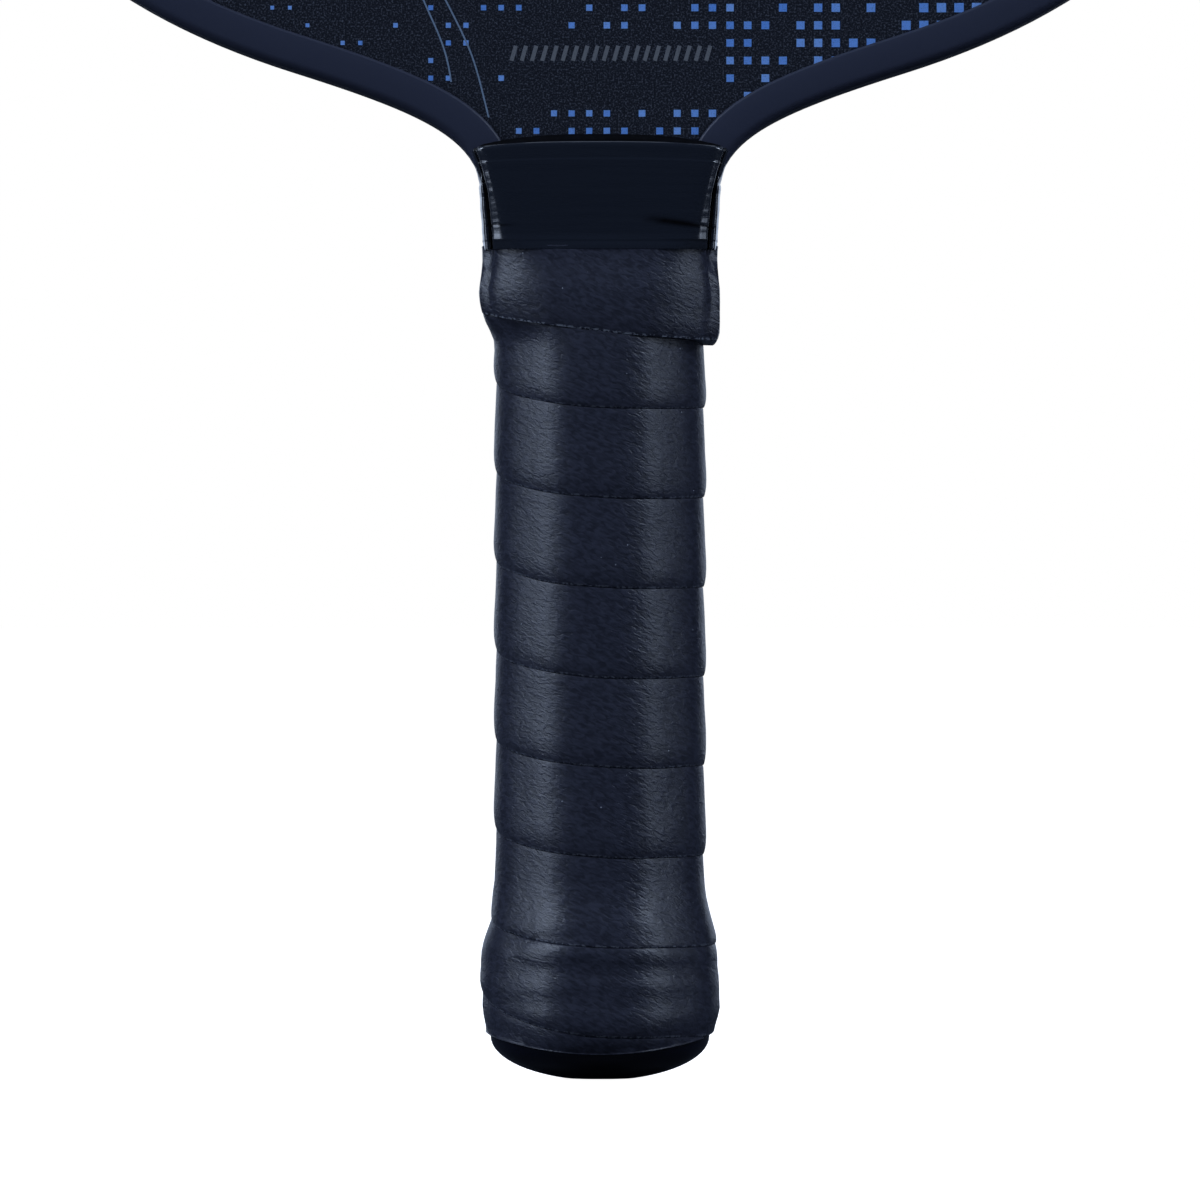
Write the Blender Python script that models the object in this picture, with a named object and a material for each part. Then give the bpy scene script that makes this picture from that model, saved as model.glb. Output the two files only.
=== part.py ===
"""A pickleball paddle standing on its butt end.

+Z runs from the butt to the head, the front face looks along -Y, and the origin is the middle of the
flat spot on the butt cap. The panel is a core between two bonded face sheets, with a tongue that runs
down into the handle. A U-shaped guard wraps the head's edge, and two half shells, a butt cap, a wound
grip and a tape collar make the handle.
"""

from math import atan2, cos, hypot, pi, radians, sin, sqrt

import bmesh
import bpy

MM = 0.001

# Panel, from the middle plane outwards
CORE_HALF = 6.3 * MM
FILM_THICK = 0.1 * MM
SHEET_THICK = 0.5 * MM
LAYER_GAP = 0.1 * MM
PANEL_HALF = CORE_HALF + 2 * LAYER_GAP + FILM_THICK + SHEET_THICK

# Edge guard: a U channel, and the strip of glue behind its web
FLANGE_REACH = 5.2 * MM
FLANGE_THICK = 0.8 * MM
WEB_THICK = 1.2 * MM
GUARD_GLUE = 0.2 * MM
GUARD_INSIDE = PANEL_HALF + LAYER_GAP
GUARD_HALF = GUARD_INSIDE + FLANGE_THICK
PANEL_INSET = WEB_THICK + GUARD_GLUE + 2 * LAYER_GAP

# The guard's outer edge, right half, from its lower end to the top of the head:
# x, z, heading in degrees, reach of the curve before and after the knot, points on the next stretch
EDGE_KNOTS = [
    (16.0, 112.0, 90.0, 0.0, 2.0, 2),
    (16.1, 119.0, 90.0, 2.0, 2.0, 3),
    (17.0, 125.0, 90.0, 2.0, 1.0, 1),
    (17.2, 128.0, 90.0, 1.0, 9.5, 8),
    (45.0, 148.0, 17.5, 23.0, 32.0, 10),
    (100.0, 218.0, 90.0, 42.0, 40.0, 3),
    (100.0, 335.0, 90.0, 40.0, 32.0, 8),
    (55.0, 398.0, 169.5, 26.0, 20.0, 5),
    (0.0, 403.0, 180.0, 20.0, 0.0, 0),
]

# Tongue of the panel inside the handle
TONGUE_HALF = 9.5 * MM
TONGUE_BOTTOM = 9.0 * MM
SHOULDER_LOW = 106.0 * MM
SHOULDER_HIGH = 110.5 * MM

# Handle half shells: z, half width, half depth, half width of the front flat, half depth of the side flat
SHELL_STATIONS = [
    (6.5, 13.9, 13.0, 6.4, 6.6),
    (106.0, 13.9, 13.0, 6.4, 6.6),
    (111.0, 15.0, 12.9, 8.6, 8.9),
    (122.0, 15.6, 12.8, 12.8, 9.9),
    (130.0, 16.2, 12.5, 14.8, 10.6),
    (137.0, 18.0, 12.2, 16.6, 10.8),
    (138.0, 17.6, 11.6, 16.0, 10.6),
]
SHELL_INSIDE = GUARD_HALF + 0.2 * MM
SLOT_HALF = TONGUE_HALF + 0.3 * MM
SKIRT_TOP = 105.5 * MM
PART_LINE = 0.15 * MM
PAD_HALF = 9.3 * MM
PAD_TOP = 136.0 * MM

# Butt cap, outside: z and how far it stands out past the shells
CAP_STATIONS = [(26.0, 0.6), (22.6, 1.2), (20.0, 1.8), (17.4, 2.1), (7.0, 2.1)]
CAP_CLEARANCE = 0.15 * MM
CAP_FLOOR = 3.2 * MM
CAP_FLOOR_HALF = 12.2 * MM
DOME_HEIGHT = 6.2 * MM
DOME_RINGS = 5
DOME_FLAT_SHARE = 0.3

# Staples that hold the cap on the shells
STAPLE_HEIGHT = 13.0 * MM
STAPLE_CROWN = 7.0 * MM
STAPLE_LEG = 5.5 * MM
STAPLE_WIRE = 0.7 * MM
STAPLE_SUNK = 0.1 * MM
STAPLE_CLEARANCE = 0.12 * MM

# Grip: the surface that it lies on, in the order of SHELL_STATIONS
WRAP_STATIONS = [
    (0.0, 16.05, 15.15, 7.4, 7.6),
    (18.0, 16.05, 15.15, 7.4, 7.6),
    (20.5, 15.8, 14.9, 7.2, 7.4),
    (23.0, 15.2, 14.3, 6.9, 7.2),
    (27.0, 14.6, 13.7, 6.7, 6.9),
    (31.0, 13.9, 13.0, 6.4, 6.6),
    (103.5, 13.9, 13.0, 6.4, 6.6),
    (106.5, 16.1, 13.1, 9.6, 9.2),
    (117.0, 16.2, 13.1, 11.0, 9.2),
    (122.0, 16.8, 13.1, 12.0, 9.2),
]
WRAP_GAP = 0.15 * MM
GRIP_THICK = 1.35 * MM
GRIP_PITCH = 13.13 * MM
GRIP_SEAM_GAP = 0.3 * MM
GRIP_BOTTOM = 6.3 * MM
GRIP_TOP = 121.5 * MM
GRIP_SEAM_HEIGHT = 6.5 * MM
GRIP_END_WIDTH = 2.0 * MM
GRIP_LAPS = 11
GRIP_ACROSS = 5
GRIP_SWING = 1.2
GRIP_STEEPEST = radians(151)

# Collar of finishing tape
COLLAR_BOTTOM = 121.9 * MM
COLLAR_TOP = 136.9 * MM
COLLAR_THICK = 0.3 * MM
COLLAR_HEIGHTS = [COLLAR_BOTTOM, 127 * MM, 130 * MM, 133 * MM, 135 * MM, COLLAR_TOP]

CORNER_CUT = 1.2 * MM
SIDE_CORNER_CUT = 3.0 * MM
SIDES = 4


def clear_scene():
    for old in list(bpy.data.objects):
        bpy.data.objects.remove(old)


def new_collection(name):
    made = bpy.data.collections.new(name)
    bpy.context.scene.collection.children.link(made)
    return made


clear_scene()
PADDLE = new_collection("pickleball_paddle")
HELPERS = new_collection("cutters_and_guides")


# ---------------------------------------------------------------- materials


def finish(name, color, roughness, metallic=0.0):
    made = bpy.data.materials.new(name)
    made.use_nodes = True
    shader = made.node_tree.nodes["Principled BSDF"]
    shader.inputs["Base Color"].default_value = (*color, 1.0)
    shader.inputs["Roughness"].default_value = roughness
    shader.inputs["Metallic"].default_value = metallic
    return made


FACE_PRINT = finish("printed_composite_sheet", (0.012, 0.015, 0.024), 0.6)
CORE_POLYMER = finish("core_polymer", (0.55, 0.56, 0.55), 0.7)
BOND_FILM = finish("bond_film", (0.45, 0.38, 0.22), 0.5)
GUARD_VINYL = finish("edge_guard_vinyl", (0.012, 0.014, 0.030), 0.5)
SHELL_FOAM = finish("moulded_shell", (0.05, 0.05, 0.055), 0.7)
FOAM_PAD = finish("foam_bond_pad", (0.6, 0.6, 0.58), 0.9)
CAP_PLASTIC = finish("cap_plastic", (0.008, 0.009, 0.016), 0.15)
STAPLE_STEEL = finish("staple_steel", (0.6, 0.6, 0.62), 0.3, 1.0)
GRIP_LEATHERETTE = finish("grip_leatherette", (0.020, 0.021, 0.036), 0.5)
COLLAR_VINYL = finish("finishing_vinyl", (0.008, 0.009, 0.014), 0.2)


# ---------------------------------------------------------------- outlines


def between(stations, z):
    """The station's values at height z, straight between the two stations around it."""
    for low, high in zip(stations, stations[1:]):
        if z <= high[0] * MM or high is stations[-1]:
            share = min(max((z / MM - low[0]) / (high[0] - low[0]), 0.0), 1.0)
            return [(a + (b - a) * share) * MM for a, b in zip(low[1:], high[1:])]


def bezier(ends, share):
    """A point and a heading on a cubic curve through its four control points."""
    rest = 1 - share
    weights = (rest**3, 3 * rest**2 * share, 3 * rest * share**2, share**3)
    slopes = (-(rest**2), rest**2 - 2 * rest * share, 2 * rest * share - share**2, share**2)
    point = [sum(w * p[axis] for w, p in zip(weights, ends)) for axis in (0, 1)]
    slope = [sum(w * p[axis] for w, p in zip(slopes, ends)) for axis in (0, 1)]
    return point, atan2(slope[1], slope[0])


def head_edge(inset):
    """(x, z) points of the head's right half, moved inwards by inset, from the neck to the top."""
    points = []
    for start, end in zip(EDGE_KNOTS, EDGE_KNOTS[1:]):
        out = radians(start[2])
        back = radians(end[2])
        ends = [
            (start[0], start[1]),
            (start[0] + start[4] * cos(out), start[1] + start[4] * sin(out)),
            (end[0] - end[3] * cos(back), end[1] - end[3] * sin(back)),
            (end[0], end[1]),
        ]
        last = end is EDGE_KNOTS[-1]
        for step in range(start[5] + last):
            (x, z), heading = bezier(ends, step / start[5])
            points.append((x * MM - inset * sin(heading), z * MM + inset * cos(heading)))
    points[-1] = (0.0, points[-1][1])
    return points


def mirrored(half):
    """A half outline followed by its mirror image, without repeating a point on the middle line."""
    return half + [(-x, z) for x, z in reversed(half) if x > 0]


def edge_half_width(z):
    """Half the guard's width at height z, on the neck."""
    edge = head_edge(0.0)
    for low, high in zip(edge, edge[1:]):
        if low[1] <= z <= high[1]:
            return low[0] + (high[0] - low[0]) * (z - low[1]) / (high[1] - low[1])
    return edge[0][0]


def panel_outline():
    """(x, z) outline of the core and the sheets: the head, its shoulders and the tongue."""
    head = head_edge(PANEL_INSET)
    shoulder_half = head[0][0]
    tongue = [
        (TONGUE_HALF, TONGUE_BOTTOM),
        (TONGUE_HALF, SHOULDER_LOW),
        (shoulder_half, SHOULDER_HIGH),
    ]
    return mirrored(tongue + head)


def rounded_octagon(size, z, grow=0.0):
    """16 points of an eight-sided section, its side corners cut deepest, turning from +X towards +Y."""
    half_width, half_depth, flat_width, flat_depth = size
    flat_grow = grow * (sqrt(2) - 1)
    wide, deep = half_width + grow, half_depth + grow
    flat_x, flat_y = flat_width + flat_grow, flat_depth + flat_grow
    quarter = [(wide, flat_y), (flat_x, deep)]
    corners = quarter + [(-x, y) for x, y in reversed(quarter)]
    corners = [(wide, -flat_y)] + corners + [(-wide, -flat_y), (-flat_x, -deep), (flat_x, -deep)]
    points = []
    for index, (x, y) in enumerate(corners):
        corner_cut = SIDE_CORNER_CUT if abs(x) == wide else CORNER_CUT
        for other_x, other_y in (corners[index - 1], corners[(index + 1) % len(corners)]):
            length = hypot(other_x - x, other_y - y)
            share = min(corner_cut, 0.3 * length) / length
            points.append((x + (other_x - x) * share, y + (other_y - y) * share, z))
    return points


# ---------------------------------------------------------------- makers


def place(name, data, material=None, collection=PADDLE):
    made = bpy.data.objects.new(name, data)
    collection.objects.link(made)
    if material:
        data.materials.append(material)
    if collection is HELPERS:
        made.hide_render = True
        made.display_type = "WIRE"
    return made


def flat_curve(name, points, half_thickness, closed=True):
    """A flat curve through the points, filled and extruded when it is closed."""
    curve = bpy.data.curves.new(name, "CURVE")
    curve.dimensions = "2D"
    curve.fill_mode = "BOTH" if closed else "NONE"
    curve.extrude = half_thickness
    spline = curve.splines.new("POLY")
    spline.points.add(len(points) - 1)
    for point, (x, y) in zip(spline.points, points):
        point.co = (x, y, 0.0, 1.0)
    spline.use_cyclic_u = closed
    return curve


def plate(name, outline, low_y, high_y, material):
    """A flat sheet standing upright: its outline is in (x, z), and it fills low_y to high_y."""
    made = place(name, flat_curve(name, outline, (high_y - low_y) / 2), material)
    made.rotation_euler = (pi / 2, 0, 0)
    made.location = (0, (low_y + high_y) / 2, 0)
    return made


def rail(name, path, profile, material):
    """A rail of the given closed profile, swept along an upright path of (x, z) points."""
    guide = place(name + "_profile", flat_curve(name + "_profile", profile, 0.0), None, HELPERS)
    guide.data.fill_mode = "NONE"
    curve = flat_curve(name, path, 0.0, closed=False)
    curve.bevel_mode = "OBJECT"
    curve.bevel_object = guide
    curve.use_fill_caps = True
    made = place(name, as_mesh(place(name + "_sweep", curve, material), name))
    made.rotation_euler = (pi / 2, 0, 0)
    return made


def loft(name, rings, material=None, collection=PADDLE):
    """A closed skin over rings that all have the same number of points, capped at both ends."""
    shape = bmesh.new()
    rows = [[shape.verts.new(point) for point in ring] for ring in rings]
    for low, high in zip(rows, rows[1:]):
        for index in range(len(low)):
            shape.faces.new((low[index - 1], low[index], high[index], high[index - 1]))
    shape.faces.new(rows[0])
    shape.faces.new(rows[-1])
    bmesh.ops.recalc_face_normals(shape, faces=shape.faces)
    mesh = bpy.data.meshes.new(name)
    shape.to_mesh(mesh)
    shape.free()
    return place(name, mesh, material, collection)


def box_cutter(name, low, high):
    """A box between two corners, for cutting."""
    shape = bmesh.new()
    bmesh.ops.create_cube(shape, size=1.0)
    for vertex in shape.verts:
        vertex.co = [a if c < 0 else b for c, a, b in zip(vertex.co, low, high)]
    mesh = bpy.data.meshes.new(name)
    shape.to_mesh(mesh)
    shape.free()
    return place(name, mesh, None, HELPERS)


def as_mesh(made, name):
    """The object's evaluated shape as a welded mesh, with the object itself removed."""
    bpy.context.view_layer.update()
    evaluated = made.evaluated_get(bpy.context.evaluated_depsgraph_get())
    mesh = bpy.data.meshes.new_from_object(evaluated)
    mesh.name = name
    shape = bmesh.new()
    shape.from_mesh(mesh)
    bmesh.ops.remove_doubles(shape, verts=shape.verts, dist=0.001 * MM)
    bmesh.ops.recalc_face_normals(shape, faces=shape.faces)
    shape.to_mesh(mesh)
    shape.free()
    bpy.data.objects.remove(made)
    return mesh


def cut(made, cutters):
    for cutter in cutters:
        boolean = made.modifiers.new("cut_" + cutter.name, "BOOLEAN")
        boolean.operation = "DIFFERENCE"
        boolean.object = cutter


# ---------------------------------------------------------------- head


def make_panel():
    """Core, bond films and face sheets, all cut to one outline."""
    outline = panel_outline()
    plate("honeycomb_core", outline, -CORE_HALF, CORE_HALF, CORE_POLYMER)
    for side, sign in (("front", -1), ("back", 1)):
        film_in = CORE_HALF + LAYER_GAP
        film_out = film_in + FILM_THICK
        sheet_in = film_out + LAYER_GAP
        for kind, low, high, material in (
            ("bond_film", film_in, film_out, BOND_FILM),
            ("face_sheet", sheet_in, sheet_in + SHEET_THICK, FACE_PRINT),
        ):
            near, far = sorted((sign * low, sign * high))
            plate(f"{side}_{kind}", outline, near, far, material)


def guard_profile():
    """The guard's section: first axis outwards from the outer edge, second through the thickness."""
    half = [
        (0.0, GUARD_HALF - 1.4 * MM),
        (-0.5 * MM, GUARD_HALF - 0.4 * MM),
        (-1.6 * MM, GUARD_HALF),
        (0.6 * MM - FLANGE_REACH, GUARD_HALF - 0.1 * MM),
        (-FLANGE_REACH, GUARD_HALF - 0.4 * MM),
        (-FLANGE_REACH, GUARD_INSIDE),
        (-WEB_THICK, GUARD_INSIDE),
    ]
    return half + [(x, -y) for x, y in reversed(half)]


def make_edge_guard():
    rail("edge_guard", mirrored(head_edge(0.0)), guard_profile(), GUARD_VINYL)
    glue_half = CORE_HALF
    glue = [
        (-GUARD_GLUE / 2, -glue_half),
        (GUARD_GLUE / 2, -glue_half),
        (GUARD_GLUE / 2, glue_half),
        (-GUARD_GLUE / 2, glue_half),
    ]
    path = mirrored(head_edge(WEB_THICK + LAYER_GAP + GUARD_GLUE / 2))
    rail("edge_guard_glue_strip", path, glue, BOND_FILM)


# ---------------------------------------------------------------- handle


def staple_outline(grow):
    """A flat U with its crown at the origin and its legs along +Y, grown all round."""
    outer = STAPLE_CROWN / 2 + grow
    inner = STAPLE_CROWN / 2 - STAPLE_WIRE - grow
    tip = STAPLE_LEG + grow
    half = [(outer, -grow), (outer, tip), (inner, tip), (inner, STAPLE_WIRE + grow)]
    return half + [(-x, y) for x, y in reversed(half)]


def staple_places():
    """The name, quarter turn and place of each staple, round the butt cap."""
    stand_out = CAP_STATIONS[-1][1] * MM - STAPLE_SUNK
    wide = SHELL_STATIONS[0][1] * MM + stand_out
    deep = SHELL_STATIONS[0][2] * MM + stand_out
    reach = {"front": deep, "right": wide, "rear": deep, "left": wide}
    for quarter, (side, distance) in enumerate(reach.items()):
        turn = quarter * pi / 2
        yield side, turn, (sin(turn) * distance, -cos(turn) * distance, STAPLE_HEIGHT)


def make_staples():
    """Four staples, and the slots that the cap and the shells hold them in."""
    slots = []
    for side, turn, spot in staple_places():
        staple = place(
            f"butt_cap_staple_{side}",
            flat_curve("staple", staple_outline(0.0), STAPLE_WIRE / 2),
            STAPLE_STEEL,
        )
        slot_curve = place(
            f"slot_curve_{side}",
            flat_curve("slot", staple_outline(STAPLE_CLEARANCE), STAPLE_WIRE / 2 + STAPLE_CLEARANCE),
        )
        slot = place(f"staple_slot_{side}", as_mesh(slot_curve, "staple_slot"), None, HELPERS)
        for made in (staple, slot):
            made.location = spot
            made.rotation_euler = (0, 0, turn)
        slots.append(slot)
    return slots


def make_handle_shells(slots):
    """Two like half shells that clasp the tongue and reach up over the guard's ends."""
    rings = [rounded_octagon([v * MM for v in station[1:]], station[0] * MM) for station in SHELL_STATIONS]
    blank = loft("shell_blank", rings, SHELL_FOAM)
    wide, far = 40 * MM, 160 * MM
    cut(
        blank,
        [
            box_cutter("rear_half", (-wide, -PART_LINE, -wide), (wide, wide, far)),
            box_cutter("tongue_slot", (-SLOT_HALF, -SHELL_INSIDE, -wide), (SLOT_HALF, wide, far)),
            box_cutter("head_room", (-wide, -SHELL_INSIDE, SKIRT_TOP), (wide, wide, far)),
            *slots,
        ],
    )
    mesh = as_mesh(blank, "handle_shell")
    place("front_handle_half", mesh)
    rear = place("rear_handle_half", mesh)
    rear.rotation_euler = (0, 0, pi)


def make_bond_pads():
    """Double-sided foam between the tongue and each shell."""
    outline = mirrored([(PAD_HALF, TONGUE_BOTTOM), (PAD_HALF, PAD_TOP)])
    inner = PANEL_HALF + LAYER_GAP
    outer = SHELL_INSIDE - LAYER_GAP
    plate("front_handle_bond_pad", outline, -outer, -inner, FOAM_PAD)
    plate("rear_handle_bond_pad", outline, inner, outer, FOAM_PAD)


def make_butt_cap(slots):
    """A cup over the shells' ends: up the inside, over the rim, down the outside and under the dome."""
    shell = [v * MM for v in SHELL_STATIONS[0][1:]]
    floor_share = CAP_FLOOR_HALF / shell[0]
    floor = [v * floor_share for v in shell]
    rings = [rounded_octagon(floor, CAP_FLOOR)]
    for height in (SHELL_STATIONS[0][0] - 0.3, CAP_STATIONS[0][0]):
        rings.append(rounded_octagon(shell, height * MM, CAP_CLEARANCE))
    for height, stand_out in CAP_STATIONS:
        rings.append(rounded_octagon(shell, height * MM, stand_out * MM))
    widest = rounded_octagon(shell, 0.0, CAP_STATIONS[-1][1] * MM)
    drop = sqrt(1 - DOME_FLAT_SHARE**2)
    for step in range(DOME_RINGS + 1):
        share = sin(step / DOME_RINGS * pi / 2) * drop
        width = sqrt(1 - share**2)
        height = DOME_HEIGHT * (1 - share / drop)
        rings.append([(x * width, y * width, height) for x, y, _ in widest])
    cap = loft("butt_cap", rings, CAP_PLASTIC)
    cut(cap, slots)


def grip_climb(angle):
    """Turns climbed by the grip at an angle that falls as it winds upwards, steepest behind the left side."""
    return -(angle + GRIP_SWING * sin(angle - GRIP_STEEPEST)) / (2 * pi)


def make_grip():
    """One long strip wound up the handle, clipped level at the collar and at the butt."""
    around = len(rounded_octagon(between(WRAP_STATIONS, 0.0), 0.0))
    corners = rounded_octagon(between(WRAP_STATIONS, GRIP_TOP / 2), 0.0)
    start = atan2(corners[0][1], corners[0][0])
    angles = [(atan2(y, x) - start) % (2 * pi) + start for x, y, _ in corners]
    front_climb = grip_climb(-pi / 2)
    rings = []
    for step in range(-2 * around, GRIP_LAPS * around):
        index = -step % around
        angle = angles[index] + 2 * pi * (-step // around)
        low = GRIP_SEAM_HEIGHT + GRIP_PITCH * (grip_climb(angle) - front_climb)
        high = low + GRIP_PITCH - GRIP_SEAM_GAP
        low, high = max(low, GRIP_BOTTOM), min(high, GRIP_TOP)
        if high - low < GRIP_END_WIDTH:
            continue
        inner, outer = [], []
        for share in range(GRIP_ACROSS):
            z = low + (high - low) * share / (GRIP_ACROSS - 1)
            size = between(WRAP_STATIONS, z)
            inner.append(rounded_octagon(size, z, WRAP_GAP)[index])
            outer.append(rounded_octagon(size, z, WRAP_GAP + GRIP_THICK)[index])
        rings.append(inner + outer[::-1])
    loft("grip_tape", rings, GRIP_LEATHERETTE)


def collar_ring(z, grow):
    """The taped neck's section: a raised plateau front and back, and the guard's ends beside it."""
    half_width, half_depth, flat_width, flat_depth = between(SHELL_STATIONS, z)
    edge = edge_half_width(z) + 0.1 * MM
    half = [
        (flat_width, half_depth),
        (half_width, flat_depth),
        (half_width, GUARD_HALF + 0.3 * MM),
        (edge - 0.5 * MM, GUARD_HALF + 0.1 * MM),
        (edge, GUARD_HALF - 1.0 * MM),
    ]
    quarter = [(x + grow, y + grow) for x, y in half]
    right = [(x, -y) for x, y in quarter] + quarter[::-1]
    left = [(-x, y) for x, y in reversed(right)]
    return [(x, y, z) for x, y in right + left]


def make_collar():
    inside = [collar_ring(z, WRAP_GAP) for z in COLLAR_HEIGHTS]
    outside = [collar_ring(z, WRAP_GAP + COLLAR_THICK) for z in COLLAR_HEIGHTS]
    rings = inside + outside[::-1]
    collar = loft("finishing_tape", rings, COLLAR_VINYL)
    shape = bmesh.new()
    shape.from_mesh(collar.data)
    caps = [face for face in shape.faces if len(face.verts) > SIDES]
    bmesh.ops.delete(shape, geom=caps, context="FACES_ONLY")
    bmesh.ops.bridge_loops(shape, edges=[edge for edge in shape.edges if edge.is_boundary])
    bmesh.ops.recalc_face_normals(shape, faces=shape.faces)
    shape.to_mesh(collar.data)
    shape.free()


make_panel()
make_edge_guard()
staple_slots = make_staples()
make_handle_shells(staple_slots)
make_bond_pads()
make_butt_cap(staple_slots)
make_grip()
make_collar()
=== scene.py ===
# %% [markdown]
# # A pickleball paddle, dressed round its CAD frame
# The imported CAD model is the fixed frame: the panel, the guard, the handle shells and the cap, each at its
# real place and size. This script gives every visible piece its fine surface. The paddle has no moving
# part, so every piece rides on the one body, called root.

# %% Load the frame and keep the CAD box
from functools import partial
from math import atan2, cos, hypot, pi, radians, sin, sqrt

import bmesh
import bpy
import numpy as np
from mathutils import Matrix, Vector, noise
from mathutils.geometry import interpolate_bezier


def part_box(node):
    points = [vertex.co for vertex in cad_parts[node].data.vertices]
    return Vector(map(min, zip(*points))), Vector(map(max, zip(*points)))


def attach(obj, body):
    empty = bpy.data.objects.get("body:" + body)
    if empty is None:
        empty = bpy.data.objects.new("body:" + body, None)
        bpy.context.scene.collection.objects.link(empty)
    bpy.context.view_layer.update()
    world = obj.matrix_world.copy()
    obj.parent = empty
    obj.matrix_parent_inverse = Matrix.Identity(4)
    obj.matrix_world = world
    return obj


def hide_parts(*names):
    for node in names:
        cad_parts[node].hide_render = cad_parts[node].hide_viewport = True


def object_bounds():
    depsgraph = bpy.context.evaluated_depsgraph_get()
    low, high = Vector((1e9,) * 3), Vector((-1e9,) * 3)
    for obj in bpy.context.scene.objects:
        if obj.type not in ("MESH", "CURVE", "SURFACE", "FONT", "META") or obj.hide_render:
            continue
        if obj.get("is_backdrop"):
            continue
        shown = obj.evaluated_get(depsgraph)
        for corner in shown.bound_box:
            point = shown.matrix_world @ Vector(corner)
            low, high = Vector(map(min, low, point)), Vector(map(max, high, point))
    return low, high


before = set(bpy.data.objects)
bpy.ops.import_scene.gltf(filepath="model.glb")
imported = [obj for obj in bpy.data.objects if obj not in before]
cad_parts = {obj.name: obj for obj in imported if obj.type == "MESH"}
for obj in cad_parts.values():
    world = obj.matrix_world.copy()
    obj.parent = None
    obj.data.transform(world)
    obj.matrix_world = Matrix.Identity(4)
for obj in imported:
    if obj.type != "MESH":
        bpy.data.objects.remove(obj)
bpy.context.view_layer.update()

MM = 0.001

# %% [markdown]
# ## Helpers that every piece uses
# A turned or wound piece is a stack of rings with the same number of points in each, so one function
# makes the faces between them. It could be done with Blender's Loft or Screw tools, but rings worked out
# by a formula can change their shape on the way, as a grip does where it climbs over the butt cap.

# %% Meshes from rings, and finished pieces
def closed_up(mesh, sharp, merge=0.0005 * MM):
    """The mesh with doubles merged, faces outwards, and smooth shading up to the sharp angle in degrees."""
    shape = bmesh.new()
    shape.from_mesh(mesh)
    bmesh.ops.remove_doubles(shape, verts=shape.verts, dist=merge)
    bmesh.ops.recalc_face_normals(shape, faces=shape.faces)
    shape.to_mesh(mesh)
    shape.free()
    mesh.shade_smooth()
    mesh.set_sharp_from_angle(angle=radians(sharp))
    return mesh


def skin(name, rings, closed_path=False, sharp=40):
    """Faces between rings of points. The path ends in caps, or runs back to its first ring."""
    count = len(rings[0])
    points = [point for ring in rings for point in ring]
    steps = len(rings) if closed_path else len(rings) - 1
    faces = []
    for step in range(steps):
        here, there = step * count, (step + 1) % len(rings) * count
        for index in range(count):
            after = (index + 1) % count
            faces.append((here + index, here + after, there + after, there + index))
    if not closed_path:
        faces.append(tuple(range(count)))
        faces.append(tuple(range(len(points) - count, len(points))))
    mesh = bpy.data.meshes.new(name)
    mesh.from_pydata([tuple(p) for p in points], [], faces)
    return closed_up(mesh, sharp)


def placed(name, data):
    """A new object in the scene."""
    made = bpy.data.objects.new(name, data)
    bpy.context.scene.collection.objects.link(made)
    return made


def finished(name, mesh, material, slot, *nodes):
    """Puts a finished mesh at the origin as a piece on the paddle's body, in place of CAD nodes."""
    mesh.name = name
    mesh.materials.clear()
    mesh.materials.append(material)
    piece = placed(name, mesh)
    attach(piece, "root")
    if nodes:
        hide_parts(*nodes)
    print(name, len(mesh.polygons), "faces")
    return piece


# %% Nodes from a few words
def node(tree, kind, values=None, **settings):
    """A node with its settings made, and each input either linked to a socket or given a value."""
    made = tree.nodes.new(kind)
    for key, value in settings.items():
        setattr(made, key, value)
    for key, value in (values or {}).items():
        if isinstance(value, bpy.types.NodeSocket):
            tree.links.new(value, made.inputs[key])
        else:
            made.inputs[key].default_value = value
    return made


def result(tree, kind, values=None, **settings):
    """The first output of a new node."""
    return node(tree, kind, values, **settings).outputs[0]


def maths(tree, operation, first, second=0.0):
    """The result of a Math node, in a shader or a geometry tree."""
    return result(tree, "ShaderNodeMath", {0: first, 1: second}, operation=operation)


def ranged(tree, value, from_low, from_high, to_low=0.0, to_high=1.0):
    """The value stretched from one range to another."""
    values = {0: value, 1: from_low, 2: from_high, 3: to_low, 4: to_high}
    return result(tree, "ShaderNodeMapRange", values)


def new_tree(name, kind, inputs, outputs):
    """A node tree with named sockets, returned with its input and output sockets."""
    tree = bpy.data.node_groups.new(name, kind + "NodeTree")
    for label, (sort, value) in inputs.items():
        made = tree.interface.new_socket(label, in_out="INPUT", socket_type="NodeSocket" + sort)
        if value is not None:
            made.default_value = value
    for label, sort in outputs.items():
        tree.interface.new_socket(label, in_out="OUTPUT", socket_type="NodeSocket" + sort)
    return tree, tree.nodes.new("NodeGroupInput").outputs, tree.nodes.new("NodeGroupOutput").inputs


def hand_out(tree, shape, material, out):
    """The end of every tree: real geometry that wears its material."""
    real = result(tree, "GeometryNodeRealizeInstances", {"Geometry": shape})
    worn = node(tree, "GeometryNodeSetMaterial", {"Geometry": real, "Material": material})
    tree.links.new(worn.outputs[0], out["Geometry"])


def grown(name, tree, values, base=None):
    """Runs a Geometry Nodes tree on an object and keeps the result as a plain mesh."""
    base = base or bpy.data.objects.new(name, bpy.data.meshes.new(name))
    bpy.context.scene.collection.objects.link(base)
    modifier = base.modifiers.new(name, "NODES")
    modifier.node_group = tree
    for item in tree.interface.items_tree:
        if item.in_out == "INPUT" and item.name in values:
            modifier[item.identifier] = values[item.name]
    bpy.context.view_layer.update()
    evaluated = base.evaluated_get(bpy.context.evaluated_depsgraph_get())
    mesh = bpy.data.meshes.new_from_object(evaluated)
    bpy.data.objects.remove(base)
    return mesh


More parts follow.
